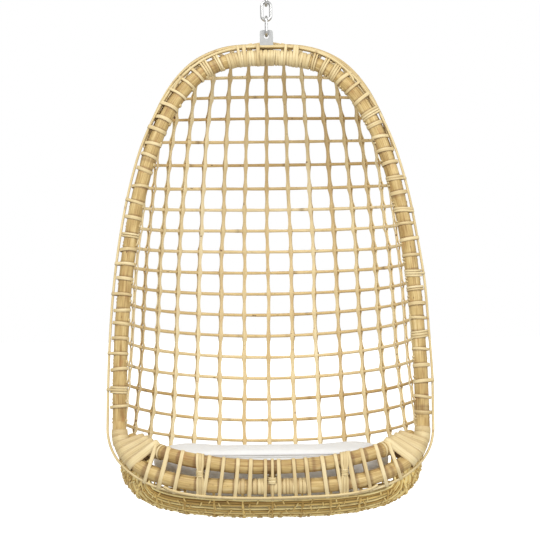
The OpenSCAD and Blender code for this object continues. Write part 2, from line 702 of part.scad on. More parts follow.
module swivel_nut() {
    color("silver") translate([0, 0, nut_z]) difference() {
        cylinder(r = nut_r, h = nut_h, $fn = 6);
        translate([0, 0, -1]) cylinder(r = shank_r + run_gap, h = nut_h + 2, $fn = fine);
    }
}

// ---------- cushion ----------
cushion_tilt = 2.5;
cushion_power = 2.6;
cushion_sides = 36;
// Its piping lies just behind the bindings of the rails
cushion_front_y = foot_mid[1] + max(hoop_r, rail_r) + loop_play + cane_t + 3 * side_gap + 2 * piping_r;
// Share of the back's depth at the height of the cushion's top edge
cushion_back_share = 0.86;
cushion_w = 2 * (hoop_half_w - cushion_side_gap);
cushion_d = hoop_y + cushion_back_share * back_depth - cushion_back_gap - cushion_front_y;
cushion_mid_y = cushion_front_y + cushion_d / 2;
// Its foot lies over the lowest place of the basket
cushion_foot_y = -14;
// Its top edge lies this high above the lower rail
cushion_rise = 45;
cushion_edge_z = hoop_foot_z + cushion_rise;
cushion_foot_z = shell_bottom_z + rib_off + rib_t + 2 * seat_gap;
// Rings from the crown to the underside: [share of the outline, height share of the crown, of the edge, of the bowl]
cushion_rings = [
    [0.2, 0.97, 0, 0], [0.42, 0.87, 0, 0], [0.62, 0.68, 0, 0], [0.8, 0.42, 0, 0], [0.92, 0.19, 0, 0], [0.98, 0.05, 0, 0],
    [1, -0.1, 0, 0], [0.98, 0, 0.35, 0], [0.955, 0, 0.7, 0], [0.915, 0, 1, 0],
    [0.86, 0, 1, 0.12], [0.74, 0, 1, 0.4], [0.56, 0, 1, 0.7], [0.35, 0, 1, 0.9], [0.15, 0, 1, 0.98]
];
cushion_bowl = cushion_edge_z - cushion_edge_t - cushion_foot_z;
function cushion_z(y, top, edge, bowl) =
    cushion_edge_z - (y - cushion_mid_y) * tan(cushion_tilt) * (1 - bowl)
    + cushion_crown * top - cushion_edge_t * edge - cushion_bowl * bowl;
function cushion_pt(share, a, top, edge, bowl, out = 0) =
    let (x = (share * cushion_w / 2 + out) * spow(cos(a), 2 / cushion_power))
    let (mid_y = mix(cushion_mid_y, cushion_foot_y, bowl))
    let (y = mid_y + (share * cushion_d / 2 + out) * spow(sin(a), 2 / cushion_power))
    [x, y, cushion_z(y, top, edge, bowl)];
function around(share, top, edge, bowl, out = 0) = [
    for (i = [0:cushion_sides - 1]) cushion_pt(share, i * 360 / cushion_sides, top, edge, bowl, out)
];
module seat_cushion() {
    n = cushion_sides;
    m = len(cushion_rings);
    pts = concat(
        [[0, cushion_mid_y, cushion_z(cushion_mid_y, 1, 0, 0)]],
        [for (r = cushion_rings) each around(r[0], r[1], r[2], r[3])],
        [[0, cushion_foot_y, cushion_z(cushion_foot_y, 0, 1, 1)]]
    );
    last = len(pts) - 1;
    faces = concat(
        [for (i = [0:n - 1]) [0, 1 + (i + 1) % n, 1 + i]],
        [
            for (j = [0:m - 2], i = [0:n - 1])
                let (p = 1 + j * n, q = p + n, k = (i + 1) % n)
                each [[p + i, p + k, q + k], [p + i, q + k, q + i]]
        ],
        [for (i = [0:n - 1]) [last, last - n + i, last - n + (i + 1) % n]]
    );
    color("whitesmoke") in_chair() polyhedron(pts, faces, convexity = 6);
}
module cushion_piping() {
    mids = around(1, -0.1, 0, 0, piping_r + seat_gap + 0.2);
    outs = [for (i = [0:cushion_sides - 1]) [0, 0, 1]];
    color("white") in_chair() sweep(mids, outs, round_section(piping_r, trim_sides), true);
}

ceiling_plate();
thrust_washer();
swivel_eye();
swivel_nut();
chain_link_top();
chain_link_middle();
chain_link_bottom();
hanger_plate();
hanger_bolts();
hanger_nuts();
front_hoop();
seat_rail();
rail_posts();
outer_trim();
rail_trim();
back_rows();
seat_rows();
inner_back_ribs();
outer_back_ribs();
inner_seat_ribs();
outer_seat_ribs();
hoop_bindings_left();
hoop_bindings_right();
top_lashing();
corner_bands_left();
corner_bands_right();
rail_bindings();
seat_cushion();
cushion_piping();
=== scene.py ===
import math
import bpy
import numpy as np
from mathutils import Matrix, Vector
from mathutils.bvhtree import BVHTree


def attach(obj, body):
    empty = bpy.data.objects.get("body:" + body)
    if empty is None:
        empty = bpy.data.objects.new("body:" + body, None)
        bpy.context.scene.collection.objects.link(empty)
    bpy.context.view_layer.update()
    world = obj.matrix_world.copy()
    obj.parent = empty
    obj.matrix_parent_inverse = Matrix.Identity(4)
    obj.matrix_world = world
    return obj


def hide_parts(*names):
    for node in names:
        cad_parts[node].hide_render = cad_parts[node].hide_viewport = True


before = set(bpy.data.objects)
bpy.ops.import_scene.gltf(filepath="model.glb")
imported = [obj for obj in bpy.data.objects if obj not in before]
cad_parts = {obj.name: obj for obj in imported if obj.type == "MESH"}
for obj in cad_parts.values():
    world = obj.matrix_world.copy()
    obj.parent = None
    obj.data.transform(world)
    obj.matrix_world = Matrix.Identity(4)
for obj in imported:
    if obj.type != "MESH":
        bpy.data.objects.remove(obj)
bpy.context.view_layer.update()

# ---- sizes
# Rattan is worked out in millimetres from the hang point, and Bundle.make turns it into metres
HANG_Z = -174.15
LEAN = math.tan(math.radians(6.0))
POLE_R, RAIL_R, ROW_R, TRIM_R = 16.5, 16.0, 4.0, 3.0
# The hoop is widest ARCH_H under its top and FOOT_H over its foot run, which bows to the front
HOOP_Y, HOOP_TOP, HOOP_W, ARCH_H, FOOT_H, BOW = -18.8, -57.0, 352.0, 860.0, 133.0, 145.0
ARCH_POWERS, FOOT_POWERS, BOW_POWER = (2.88, 2.29), (3.0, 2.5), 1.35
WIDE_Z = HOOP_TOP - ARCH_H
FOOT_Z = WIDE_Z - FOOT_H
BACK_DEPTH, ROOF_RISE, BASKET_DROP = 378.0, 45.0, 94.0
SHELL_BOTTOM = FOOT_Z - BASKET_DROP
# Rows are counted from the roof's edge: roof, back and under the seat, and the front of the basket
FIRST_ROW, ROOF_PITCH, BACK_PITCH, FRONT_PITCH = 74.5, 62, 55.5, 30
ROOF_ROWS, BACK_ROWS, MOST_ROWS, LAST_ROW_GAP = 8, 19, 60, 40
SEAT_ROW, FRONT_FROM = 21, 1380
ROW_POWER, SEAT_ROW_MORE, SEAT_FROM, SEAT_FADE = 1.9, 0.9, 0.62, 0.15
ROW_POWER_Y, FLARE_POWER = 3.3, 0.6
# Ribs on each side of the middle one, their pitch, and the room between the last one and the hoop
SIDE_RIBS, RIB_PITCH, SIDE_ROOM, TOP_ROOM, TOP_ROOM_FALL = 9, 66, 13, 66, 6
TRIM_OFF, POST_X = 26.0, 160.0
chance = np.random.default_rng(7)
scene = bpy.context.scene


def put(name, data):
    """A new object in the scene."""
    thing = bpy.data.objects.new(name, data)
    scene.collection.objects.link(thing)
    return thing


def unit(v):
    v = np.asarray(v, float)
    return v / np.maximum(np.linalg.norm(v, axis=-1, keepdims=True), 1e-9)


def spow(v, e):
    return np.sign(v) * np.abs(v) ** e


def run_lengths(pts):
    return np.r_[0.0, np.cumsum(np.linalg.norm(np.diff(pts, axis=0), axis=1))]


class Line:
    """A curve that is read by its running length."""

    def __init__(self, pts):
        self.pts = np.asarray(pts, float)
        self.at_l = run_lengths(self.pts)
        self.length = self.at_l[-1]

    def __call__(self, s):
        return np.stack([np.interp(s, self.at_l, self.pts[:, k]) for k in range(3)], axis=-1)


def smooth_through(pts, n):
    """Catmull-Rom curve with n steps between two points."""
    pts = np.asarray(pts, float)
    ends = np.vstack([2 * pts[0] - pts[1], pts, 2 * pts[-1] - pts[-2]])
    out = []
    for a, b, c, d in zip(ends, ends[1:], ends[2:], ends[3:]):
        for t in np.arange(n) / n:
            out.append(0.5 * (2 * b + (c - a) * t + (2 * a - 5 * b + 4 * c - d) * t * t
                              + (3 * b - a - 3 * c + d) * t ** 3))
    out.append(pts[-1])
    return np.array(out)


# ---- the hoop
def hoop_pt(a):
    """Middle of the pole at a degrees from the top, on the right side."""
    s, c = math.sin(math.radians(a)), math.cos(math.radians(a))
    arch = c >= 0
    power_x, power_z = ARCH_POWERS if arch else FOOT_POWERS
    share = abs(c) ** (2 / power_z)
    z = WIDE_Z + (ARCH_H * share if arch else -FOOT_H * share)
    y = HOOP_Y + (z - HOOP_TOP) * LEAN - (0 if arch else BOW * share ** BOW_POWER)
    return [HOOP_W * spow(s, 2 / power_x), y, z]


half_hoop = Line([hoop_pt(a) for a in np.linspace(0, 180, 361)])
HOOP_L = half_hoop.length
HOOP_NORMAL = np.array([0, math.cos(math.atan(LEAN)), -LEAN * math.cos(math.atan(LEAN))])
below_widest = slice(int(np.argmax(half_hoop.pts[:, 0])), None)


def hoop_at(s):
    """Middle of the pole at length s from the top; negative lengths run down the other side."""
    s = np.asarray(s, float)
    fold = np.where(np.abs(s) > HOOP_L, 2 * HOOP_L - np.abs(s), np.abs(s))
    side = np.where(s < 0, -1.0, 1.0) * np.where(np.abs(s) > HOOP_L, -1.0, 1.0)
    return half_hoop(fold) * np.stack([side, np.ones_like(side), np.ones_like(side)], axis=-1)


def hoop_heading(s):
    return unit(hoop_at(np.asarray(s) + 2) - hoop_at(np.asarray(s) - 2))


def hoop_out(s):
    return unit(np.cross(hoop_heading(s), HOOP_NORMAL))


def foot_length(x):
    """Length along the half hoop of a place on its foot run that lies x from the middle."""
    return np.interp(-abs(x), -half_hoop.pts[below_widest, 0], half_hoop.at_l[below_widest])


def foot_pole(x):
    """The hoop's foot run at x."""
    p = half_hoop(foot_length(x))
    return np.array([x, p[1], p[2]])


def foot_place(x):
    """Length along the whole hoop, from its top, of a place x on its foot run."""
    return foot_length(x) if x >= 0 else 2 * HOOP_L - foot_length(x)


FOOT_MID = hoop_at(HOOP_L)

# ---- the shell
# The line down the middle of the back: depth and height in shares of the shell's
ROOF_SHARE = -0.028
BACK_SHARES = [(0.16, ROOF_SHARE), (0.40, -0.023), (0.635, 0.021), (0.82, 0.113), (0.926, 0.241),
               (0.984, 0.388), (1, 0.534), (0.985, 0.681), (0.935, 0.80), (0.79, 0.905),
               (0.45, 0.975), (0.05, 1), (-0.38, 0.982)]
# It ends this far behind and under the foot run's middle
BACK_END = [0, 13, -11]


def share_z(f):
    if f < 0:
        return HOOP_TOP + ROOF_RISE * f / ROOF_SHARE
    return HOOP_TOP - f * (HOOP_TOP - SHELL_BOTTOM)


back_middle = [[0, HOOP_Y + y * BACK_DEPTH, share_z(f)] for y, f in BACK_SHARES]
back_line = Line(smooth_through([hoop_pt(0)] + back_middle + [FOOT_MID + BACK_END], 10))
ROW_PLACES = [FIRST_ROW + min(i, ROOF_ROWS) * ROOF_PITCH
              + min(max(i - ROOF_ROWS, 0), BACK_ROWS) * BACK_PITCH
              + max(i - ROOF_ROWS - BACK_ROWS, 0) * FRONT_PITCH for i in range(MOST_ROWS)]
ROW_PLACES = [s for s in ROW_PLACES if s <= back_line.length - LAST_ROW_GAP]
ROW_N = len(ROW_PLACES)
# For shares of the back line: where a row ends, in shares of the hoop's half length
END_PLACES = [(0, 0), (0.04, 0.04), (0.15, 0.148), (0.25, 0.255), (0.35, 0.366), (0.4, 0.417),
              (0.45, 0.468), (0.5, 0.517), (0.55, 0.569), (0.58, 0.604), (0.665, 0.69),
              (0.755, 0.742), (0.875, 0.774), (1, 0.821)]
# The power of its fall towards its middle
FALLS = [(0.38, 0.606), (0.5, 1.05), (0.665, 1.05), (0.735, 0.606)]
# How far it stands out at its sides, in shares of the hoop's width
FLARES = [(0.04, 0), (0.08, 0.115), (0.16, 0.12), (0.35, 0.034), (0.55, 0.028), (0.68, 0.068),
          (0.8, 0.085), (0.9, 0.05), (1, 0.03)]
# How wide the ribs stand on it, in shares of their pitch
SPREAD = [(0.04, 0.64), (0.14, 0.7), (0.25, 0.82), (0.4, 0.93), (0.65, 1)]


class Row:
    """A bow from hoop side to hoop side, round the back or under the seat."""

    def __init__(self, back_s):
        self.back_s, self.u = back_s, back_s / back_line.length
        self.place = np.interp(self.u, *zip(*END_PLACES)) * HOOP_L
        self.fall = np.interp(self.u, *zip(*FALLS))
        self.flare = 2 * HOOP_W * np.interp(self.u, *zip(*FLARES))
        side = hoop_at(self.place)
        self.half_w = side[0]
        self.mid = np.array([0, side[1], side[2]])
        self.bow = back_line(back_s) - self.mid
        self.power = ROW_POWER + SEAT_ROW_MORE * min(1, max(0, (self.u - SEAT_FROM) / SEAT_FADE))
        # Measured closer towards its ends, where it turns most
        self.angles = 90 * (1 - (1 - np.linspace(0, 1, 161)) ** 1.65)
        self.at_l = run_lengths(self.pt(self.angles))
        self.half_l = self.at_l[-1]
        self.rib_step = RIB_PITCH * np.interp(self.u, *zip(*SPREAD))

    def pt(self, a):
        """Its middle line at a degrees from the middle of the back."""
        a = np.radians(np.asarray(a, float))
        sin, cos = np.sin(a), np.maximum(0, np.cos(a))
        flare = self.flare * np.sign(a) * sin ** 2 * cos ** FLARE_POWER
        x = self.half_w * spow(sin, 2 / self.power) + flare
        y, z = cos ** (2 / ROW_POWER_Y) * self.bow[1], cos ** self.fall * self.bow[2]
        return self.mid + np.stack([x, y, z], axis=-1)

    def angle(self, s):
        return np.sign(s) * np.interp(np.abs(s), self.at_l, self.angles)


rows = [Row(s) for s in ROW_PLACES]


def row_out(i, a):
    """Direction out of the shell at angle a of row i."""
    a = np.asarray(a)
    down = rows[min(i + 1, ROW_N - 1)].pt(a) - rows[max(i - 1, 0)].pt(a)
    return unit(np.cross(unit(rows[i].pt(a + 0.2) - rows[i].pt(a - 0.2)), down))


def rib_left(i, k):
    """Length of row i that is left outside rib k, less the room beside the hoop."""
    room = max(POLE_R + SIDE_ROOM, TOP_ROOM - TOP_ROOM_FALL * i)
    return rows[i].half_l - room - k * rows[i].rib_step


def rib_path(k):
    """Points and outward directions of rib k at the rows and at its two ends on the hoop, and
    the rows that it crosses."""
    crossed = [i for i in range(ROW_N) if rib_left(i, k) > 0]
    pts, outs = [], []
    for i in crossed:
        a = rows[i].angle(k * rows[i].rib_step)
        pts.append(rows[i].pt(a))
        outs.append(row_out(i, a))

    def on_hoop(i, j):
        if j < 0:
            return k * rows[0].rib_step
        if j >= ROW_N:
            return HOOP_L - k * rows[-1].rib_step
        f = rib_left(i, k) / (rib_left(i, k) - rib_left(j, k))
        return rows[i].place + (rows[j].place - rows[i].place) * min(0.62, max(0.38, f))

    top_s, foot_s = on_hoop(crossed[0], crossed[0] - 1), on_hoop(crossed[-1], crossed[-1] + 1)
    for s, at, out in ((top_s, 0, outs[0]), (foot_s, len(pts) + 1, outs[-1])):
        h, q = hoop_at(s), pts[0] if at == 0 else pts[-1]
        pts.insert(at, h + unit(q - h) * (POLE_R + 1.0))
        outs.insert(at, out)
    return np.array(pts), np.array(outs), crossed


# ---- the seat rail
# Its height over the foot run, its rise towards the sides, and where it meets the hoop
RAIL_GAP, RAIL_RISE, RAIL_MEET, RAIL_END = 43.0, 60.0, 0.93, 322.3
rail_end_z = FOOT_MID[2] + RAIL_GAP + RAIL_RISE * RAIL_MEET ** 2
rail_back = (HOOP_Y + (rail_end_z - HOOP_TOP) * LEAN - FOOT_MID[1]) / RAIL_MEET ** 4


def rail_at(x):
    x = np.asarray(x, float)
    f = np.abs(x) / HOOP_W
    y, z = FOOT_MID[1] + rail_back * f ** 4, FOOT_MID[2] + RAIL_GAP + RAIL_RISE * f * f
    return np.stack([x, y, z], axis=-1)


# ---- strands and straps as meshes
def turned(pts, outs=None, closed=False):
    """Sideways and outward directions along a line."""
    if closed:
        heads = unit(np.roll(pts, -1, axis=0) - np.roll(pts, 1, axis=0))
    else:
        heads = unit(np.gradient(pts, axis=0))
    if outs is None:
        outs = np.zeros_like(pts)
        o = np.cross(heads[0], [0.13, 0.2, 0.97])
        for i, h in enumerate(heads):
            o = unit(o - h * np.dot(o, h))
            outs[i] = o
    side = unit(np.cross(heads, outs))
    return side, np.cross(side, heads)


def oval_section(w, t, n=10):
    a = np.arange(n) * 2 * math.pi / n
    return np.stack([t / 2 * np.cos(a), w / 2 * np.sin(a)], axis=1)


def round_section(r, n=8):
    return oval_section(2 * r, 2 * r, n)


def strap_section(w, t):
    """Split cane: flat inside, a low crown outside."""
    h = w / 2
    return np.array([[0, -h], [t * 0.55, -h], [t * 0.9, -h * 0.72], [t, 0], [t * 0.9, h * 0.72],
                     [t * 0.55, h], [0, h]])


# Painted shade: how dark a strap is made along its edges, and a strand along its sides where it
# lies against its neighbours
STRAP_EDGE_SHADE = np.array([0.85, 0.75, 0.22, 0, 0.22, 0.75, 0.85])
STRAND_SIDE_SHADE = np.array([0, 0.14, 0.9, 0.14, 0, 0.14, 0.9, 0.14])


def wavy(n, step, spread, closed=False):
    """Small smooth wandering of a strand laid by hand."""
    knots = chance.normal(0, spread, max(3, n // step))
    if closed:
        knots[-1] = knots[0]
    return np.interp(np.linspace(0, len(knots) - 1, n), np.arange(len(knots)), knots)


def knots_of(line, gap_low, gap_high, reach=3.0):
    """A pole's or strand's knots: their strength at each point of its line."""
    s = run_lengths(line)
    at, knots = chance.random() * gap_low, np.zeros(len(s))
    while at < s[-1]:
        knots = np.maximum(knots, np.exp(-((s - at) / reach) ** 2) * chance.uniform(0.4, 1))
        at += gap_low + chance.random() * (gap_high - gap_low)
    return knots


class Bundle:
    """Strands of one kind in one mesh. Each has its own tone and its own stretch of grain."""

    def __init__(self):
        self.verts, self.faces, self.uvs, self.tones, self.knots_and_shade = [], [], [], [], []
        self.count = 0

    def strand(self, pts, section, outs=None, closed=False, tone=None, swell=None, knots_and_shade=None):
        """Swell scales the section at each point, as one number or as thickness and width.
        Its darkening is given as one number a point or one for each corner of the section: the
        strand's knots, and painted shade beside ties and between strands."""
        pts = np.asarray(pts, float)
        side, out = turned(pts, outs, closed)
        n, m = len(pts), len(section)
        if swell is None:
            swell = np.ones((n, 2))
        elif swell.ndim == 1:
            swell = np.stack([swell, swell], axis=1)
        ring = (out[:, None, :] * section[None, :, 0, None] * swell[:, None, :1]
                + side[:, None, :] * section[None, :, 1, None] * swell[:, None, 1:])
        self.verts.append((pts[:, None, :] + ring).reshape(-1, 3))
        self.tones.append(np.full(n * m, chance.random() if tone is None else tone))
        # With nothing given, a strap gets painted shade along its edges
        if knots_and_shade is None:
            knots_and_shade = np.tile(STRAP_EDGE_SHADE, n) if m == len(STRAP_EDGE_SHADE) else np.zeros(n * m)
        elif np.ndim(knots_and_shade) == 1:
            knots_and_shade = np.repeat(knots_and_shade, m)
        self.knots_and_shade.append(np.ravel(knots_and_shade))
        self.cover(n, m, closed, section, pts)

    def cover(self, n, m, closed, section, pts):
        """Faces over n rings of m corners, with the grain's place on each."""
        along = np.r_[run_lengths(pts), 0]
        along[-1] = along[-2] + (np.linalg.norm(pts[0] - pts[-1]) if closed else 0)
        around = run_lengths(np.vstack([section, section[:1]]))
        shift = chance.random() * 40
        base = self.count
        for i in range(n if closed else n - 1):
            a, b = base + i * m, base + ((i + 1) % n) * m
            for j in range(m):
                k = (j + 1) % m
                self.faces.append((a + j, a + k, b + k, b + j))
                v0, v1 = along[i] / 1000 + shift, along[i + 1] / 1000 + shift
                u0, u1 = around[j] / 1000 + shift, around[j + 1] / 1000 + shift
                self.uvs += [(u0, v0), (u1, v0), (u1, v1), (u0, v1)]
        if not closed:
            for first, order in ((base, range(m - 1, -1, -1)), (base + (n - 1) * m, range(m))):
                self.faces.append(tuple(first + j for j in order))
                self.uvs += [(section[j][0] / 1000 + shift, section[j][1] / 1000) for j in order]
        self.count += n * m

    def make(self, name, finish, slot, body="chair", stands_for=()):
        mesh = bpy.data.meshes.new(name)
        verts = (np.vstack(self.verts) + [0, 0, HANG_Z]) / 1000
        mesh.from_pydata(verts.tolist(), [], self.faces)
        grain = mesh.uv_layers.new(name="Grain")
        grain.data.foreach_set("uv", np.array(self.uvs, np.float32).ravel())
        # Tone, and the darkening by knots and painted shade, go to the finish as attributes
        for label, values in (("tone", self.tones), ("mark", self.knots_and_shade)):
            layer = mesh.attributes.new(label, "FLOAT", "POINT")
            layer.data.foreach_set("value", np.concatenate(values).astype(np.float32))
        mesh.shade_smooth()
        mesh.set_sharp_from_angle(angle=math.radians(50))
        mesh.materials.append(finish)
        piece = put(name, mesh)
        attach(piece, body)
        if stands_for:
            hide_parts(*stands_for)


def hull(points):
    """Convex outline of points in a plane, anticlockwise."""
    pts = sorted(map(tuple, points))

    def chain(seq):
        out = []
        for p in seq:
            while len(out) > 1:
                (ax, ay), (bx, by) = out[-2:]
                if (bx - ax) * (p[1] - ay) - (by - ay) * (p[0] - ax) > 0:
                    break
                out.pop()
            out.append(p)
        return out[:-1]

    return np.array(chain(pts) + chain(pts[::-1]))


def loop_round(place, normal, poles, play, steps=36, reach=70):
    """The line that a strap takes round the poles cut by a plane near a place: its points and
    outward directions. Poles are lines with their radii; play is the gap under the strap."""
    place, normal = np.asarray(place, float), unit(normal)
    across = unit(np.cross(normal, [0.31, 0.2, 0.93]))
    up = np.cross(normal, across)
    flat = []
    for line, r in poles:
        d = (line - place) @ normal
        best = None
        for h in np.where(d[:-1] * d[1:] <= 0)[0]:
            p = line[h] + (line[h + 1] - line[h]) * (d[h] / (d[h] - d[h + 1] + 1e-9))
            gap = np.linalg.norm(p - place)
            if gap < reach and (best is None or gap < best[0]):
                best = (gap, p, unit(line[h + 1] - line[h]))
        if best is None:
            continue
        _, p, head = best
        minor = unit(np.cross(normal, head)) if abs(np.dot(normal, head)) < 0.9999 else across
        major = np.cross(normal, minor)
        stretch = min(2.2, 1 / max(0.05, abs(np.dot(normal, head))))
        for a in np.arange(20) * math.pi / 10:
            rim = math.cos(a) * minor + math.sin(a) * stretch * major
            q = p - place + (r + play) * rim
            flat.append((q @ across, q @ up))
    outline = hull(flat)
    closed = np.vstack([outline, outline[:1]])
    at = run_lengths(closed)
    s = np.arange(steps) / steps * at[-1]
    ring = np.stack([np.interp(s, at, closed[:, 0]), np.interp(s, at, closed[:, 1])], axis=1)
    ring = ring * 0.5 + 0.25 * (np.roll(ring, 1, axis=0) + np.roll(ring, -1, axis=0))
    pts = place + ring[:, :1] * across + ring[:, 1:] * up
    heads = unit(np.roll(pts, -1, axis=0) - np.roll(pts, 1, axis=0))
    outs = np.cross(heads, normal)
    if np.mean(np.sum(outs * (pts - pts.mean(axis=0)), axis=1)) < 0:
        outs = -outs
    return pts, outs


def strap(bundle, loop, w, t, tone):
    """A strap of split cane along a loop's points and outward directions."""
    bundle.strand(loop[0], strap_section(w, t), outs=loop[1], closed=True, tone=tone)


# ---- finishes
class Thread:
    """A socket of a finish that takes part in plain sums."""

    def __init__(self, finish, socket):
        self.finish, self.socket = finish, socket

    def sum(self, operation, a, b):
        return self.finish.node("ShaderNodeMath", {"operation": operation}, {0: a, 1: b})

    def __add__(self, b): return self.sum("ADD", self, b)
    def __radd__(self, b): return self.sum("ADD", b, self)
    def __sub__(self, b): return self.sum("SUBTRACT", self, b)
    def __rsub__(self, b): return self.sum("SUBTRACT", b, self)
    def __mul__(self, b): return self.sum("MULTIPLY", self, b)
    def __rmul__(self, b): return self.sum("MULTIPLY", b, self)


class Finish:
    """A material and its nodes. Constants are set on its shader's sockets."""

    def __init__(self, name, **constants):
        self.material = bpy.data.materials.new(name)
        self.material.use_nodes = True
        self.nodes, self.links = self.material.node_tree.nodes, self.material.node_tree.links
        self.shader = next(n for n in self.nodes if n.type == "BSDF_PRINCIPLED")
        for key, value in constants.items():
            self.shader.inputs[key.replace("_", " ")].default_value = value

    def node(self, kind, settings=None, values=None, out=0):
        node = self.nodes.new(kind)
        for key, value in (settings or {}).items():
            if key == "stops":
                ramp = node.color_ramp
                while len(ramp.elements) < len(value):
                    ramp.elements.new(0.5)
                for stop, (at, colour) in zip(ramp.elements, value):
                    stop.position = at
                    stop.color = (*colour, 1)
            else:
                setattr(node, key, value)
        for key, value in (values or {}).items():
            if isinstance(value, Thread):
                self.links.new(value.socket, node.inputs[key])
            else:
                node.inputs[key].default_value = value
        return Thread(self, node.outputs[out])

    def mix(self, a, b, share):
        """Colour a where share is 0 and colour b where it is 1."""
        a, b = (c if isinstance(c, Thread) else (*c, 1) for c in (a, b))
        return self.node("ShaderNodeMix", {"data_type": "RGBA"}, {0: share, 6: a, 7: b}, out=2)

    def attribute(self, name):
        return self.node("ShaderNodeAttribute", {"attribute_name": name}, out="Fac")

    def scaled(self, place, scale):
        kind, how = "ShaderNodeVectorMath", {"operation": "MULTIPLY"}
        return self.node(kind, how, {0: place, 1: scale})

    def object_place(self):
        return self.node("ShaderNodeTexCoord", out="Object")

    def noise(self, place, detail, rough):
        values = {"Vector": place, "Scale": 1.0, "Detail": detail, "Roughness": rough}
        return self.node("ShaderNodeTexNoise", {}, values, out="Fac")

    def grain(self, around, along, detail, rough):
        """Noise in the strand's own grain, by its scales round the strand and along it."""
        uv = self.node("ShaderNodeUVMap", {"uv_map": "Grain"})
        return self.noise(self.scaled(uv, (around, along, 1)), detail, rough)

    def between(self, value, low, high):
        """0 at low, 1 at high, held flat outside."""
        values = {0: value, 1: low, 2: high, 3: 0.0, 4: 1.0}
        return self.node("ShaderNodeMapRange", {"clamp": True}, values)

    def feed(self, socket, value):
        self.links.new(value.socket, self.shader.inputs[socket])

    def bump(self, height, strength, distance):
        values = {"Height": height, "Strength": strength, "Distance": distance}
        self.feed("Normal", self.node("ShaderNodeBump", {}, values))


def rattan(name, dark, mid, pale, scar, scars_from, roughness, coat, fibre_share, spread,
           ridge=0.0004, blush=0.0, mottle=0.45):
    """Rattan in its own skin or split: long fibres, slow changes of tone, small dark scars, and the
    darkening of knots and painted shade that each strand carries.
    Spread is how far strands differ, mottle how far one changes along itself, ridge the height
    of its fibres in metres, and blush the share of red in its patches."""
    f = Finish(name, Coat_Weight=coat * 0.6, Coat_Roughness=0.4, Specular_IOR_Level=0.3)
    tone, mark = f.attribute("tone"), f.attribute("mark")
    fibres = f.between(f.grain(640, 7, 3, 0.65), 0.25, 0.75)
    threads = f.grain(1900, 22, 1, 0.5)
    patches = f.grain(70, 17, 2, 0.5)
    slow = f.grain(12, 3.5, 1, 0.5)
    shade = (tone * spread + slow * 0.5 + patches * mottle + fibres * fibre_share + threads * 0.2
             - (fibre_share + spread + mottle - 0.12) / 2)
    stops = [(0.1, dark), (0.5, mid), (0.9, pale)]
    colour = f.node("ShaderNodeValToRGB", {"stops": stops}, {0: shade})
    scars = f.between(f.grain(150, 52, 2, 0.55), scars_from, scars_from + 0.06)
    colour = f.mix(colour, scar, scars * 0.88)
    # Knots, and painted shade at strap edges, between strands and beside ties, darken it towards
    # the scar colour
    colour = f.mix(colour, scar, f.between(mark, 0.15, 0.9) * 0.6)
    if blush:
        red = f.between(f.grain(46, 24, 2, 0.6), 0.58, 0.70)
        colour = f.mix(colour, (0.42, 0.15, 0.05), red * blush)
    f.feed("Base Color", colour)
    f.feed("Roughness", roughness + fibres * 0.2 - 0.1)
    f.bump(fibres * 0.6 + threads * 0.3 + patches * 0.3 - mark * 0.8, 0.6, ridge)
    return f.material


pole_skin = rattan("pole_skin", (0.31, 0.18, 0.055), (0.57, 0.41, 0.165), (0.79, 0.63, 0.34),
                   scar=(0.13, 0.05, 0.02), scars_from=0.70, roughness=0.5, coat=0.12,
                   fibre_share=0.7, spread=0.3, ridge=0.0008, blush=0.25, mottle=0.9)
row_skin = rattan("row_skin", (0.56, 0.375, 0.15), (0.77, 0.59, 0.30), (0.90, 0.76, 0.48),
                  scar=(0.09, 0.03, 0.012), scars_from=0.675, roughness=0.52, coat=0.1,
                  fibre_share=0.3, spread=0.75)
rib_skin = rattan("rib_skin", (0.62, 0.45, 0.215), (0.80, 0.655, 0.375), (0.92, 0.81, 0.55),
                  scar=(0.17, 0.07, 0.03), scars_from=0.69, roughness=0.55, coat=0.08,
                  fibre_share=0.35, spread=0.5, blush=0.12)
# The basket's rows and ribs get this copy of the rattan, brighter and more golden than the back's:
# painted warm bounce light that lifts the shade inside the basket
basket_painted_bounce = rattan("basket_painted_bounce", (0.50, 0.31, 0.08), (0.88, 0.64, 0.22), (1.0, 0.86, 0.42),
                     scar=(0.12, 0.045, 0.015), scars_from=0.69, roughness=0.52, coat=0.1,
                     fibre_share=0.3, spread=0.8, blush=0.1)
split_cane = rattan("split_cane", (0.46, 0.32, 0.14), (0.67, 0.53, 0.275), (0.83, 0.71, 0.44),
                    scar=(0.28, 0.14, 0.06), scars_from=0.74, roughness=0.5, coat=0.1,
                    fibre_share=0.5, spread=0.5, ridge=0.0005)


def metal(name, colour, roughness, scale):
    f = Finish(name, Metallic=1.0)
    haze = f.noise(f.scaled(f.object_place(), (scale,) * 3), 4, 0.6)
    f.feed("Base Color", f.mix(tuple(c * 0.86 for c in colour), colour, haze))
    f.feed("Roughness", roughness + haze * 0.18 - 0.09)
    f.bump(haze, 0.12, 0.0003)
    return f.material


plate_steel = metal("plate_steel", (0.47, 0.475, 0.47), 0.5, 160)
link_steel = metal("link_steel", (0.66, 0.66, 0.65), 0.26, 220)
fitting_steel = metal("fitting_steel", (0.60, 0.61, 0.61), 0.34, 180)
washer_brass = metal("washer_brass", (0.62, 0.43, 0.17), 0.3, 200)


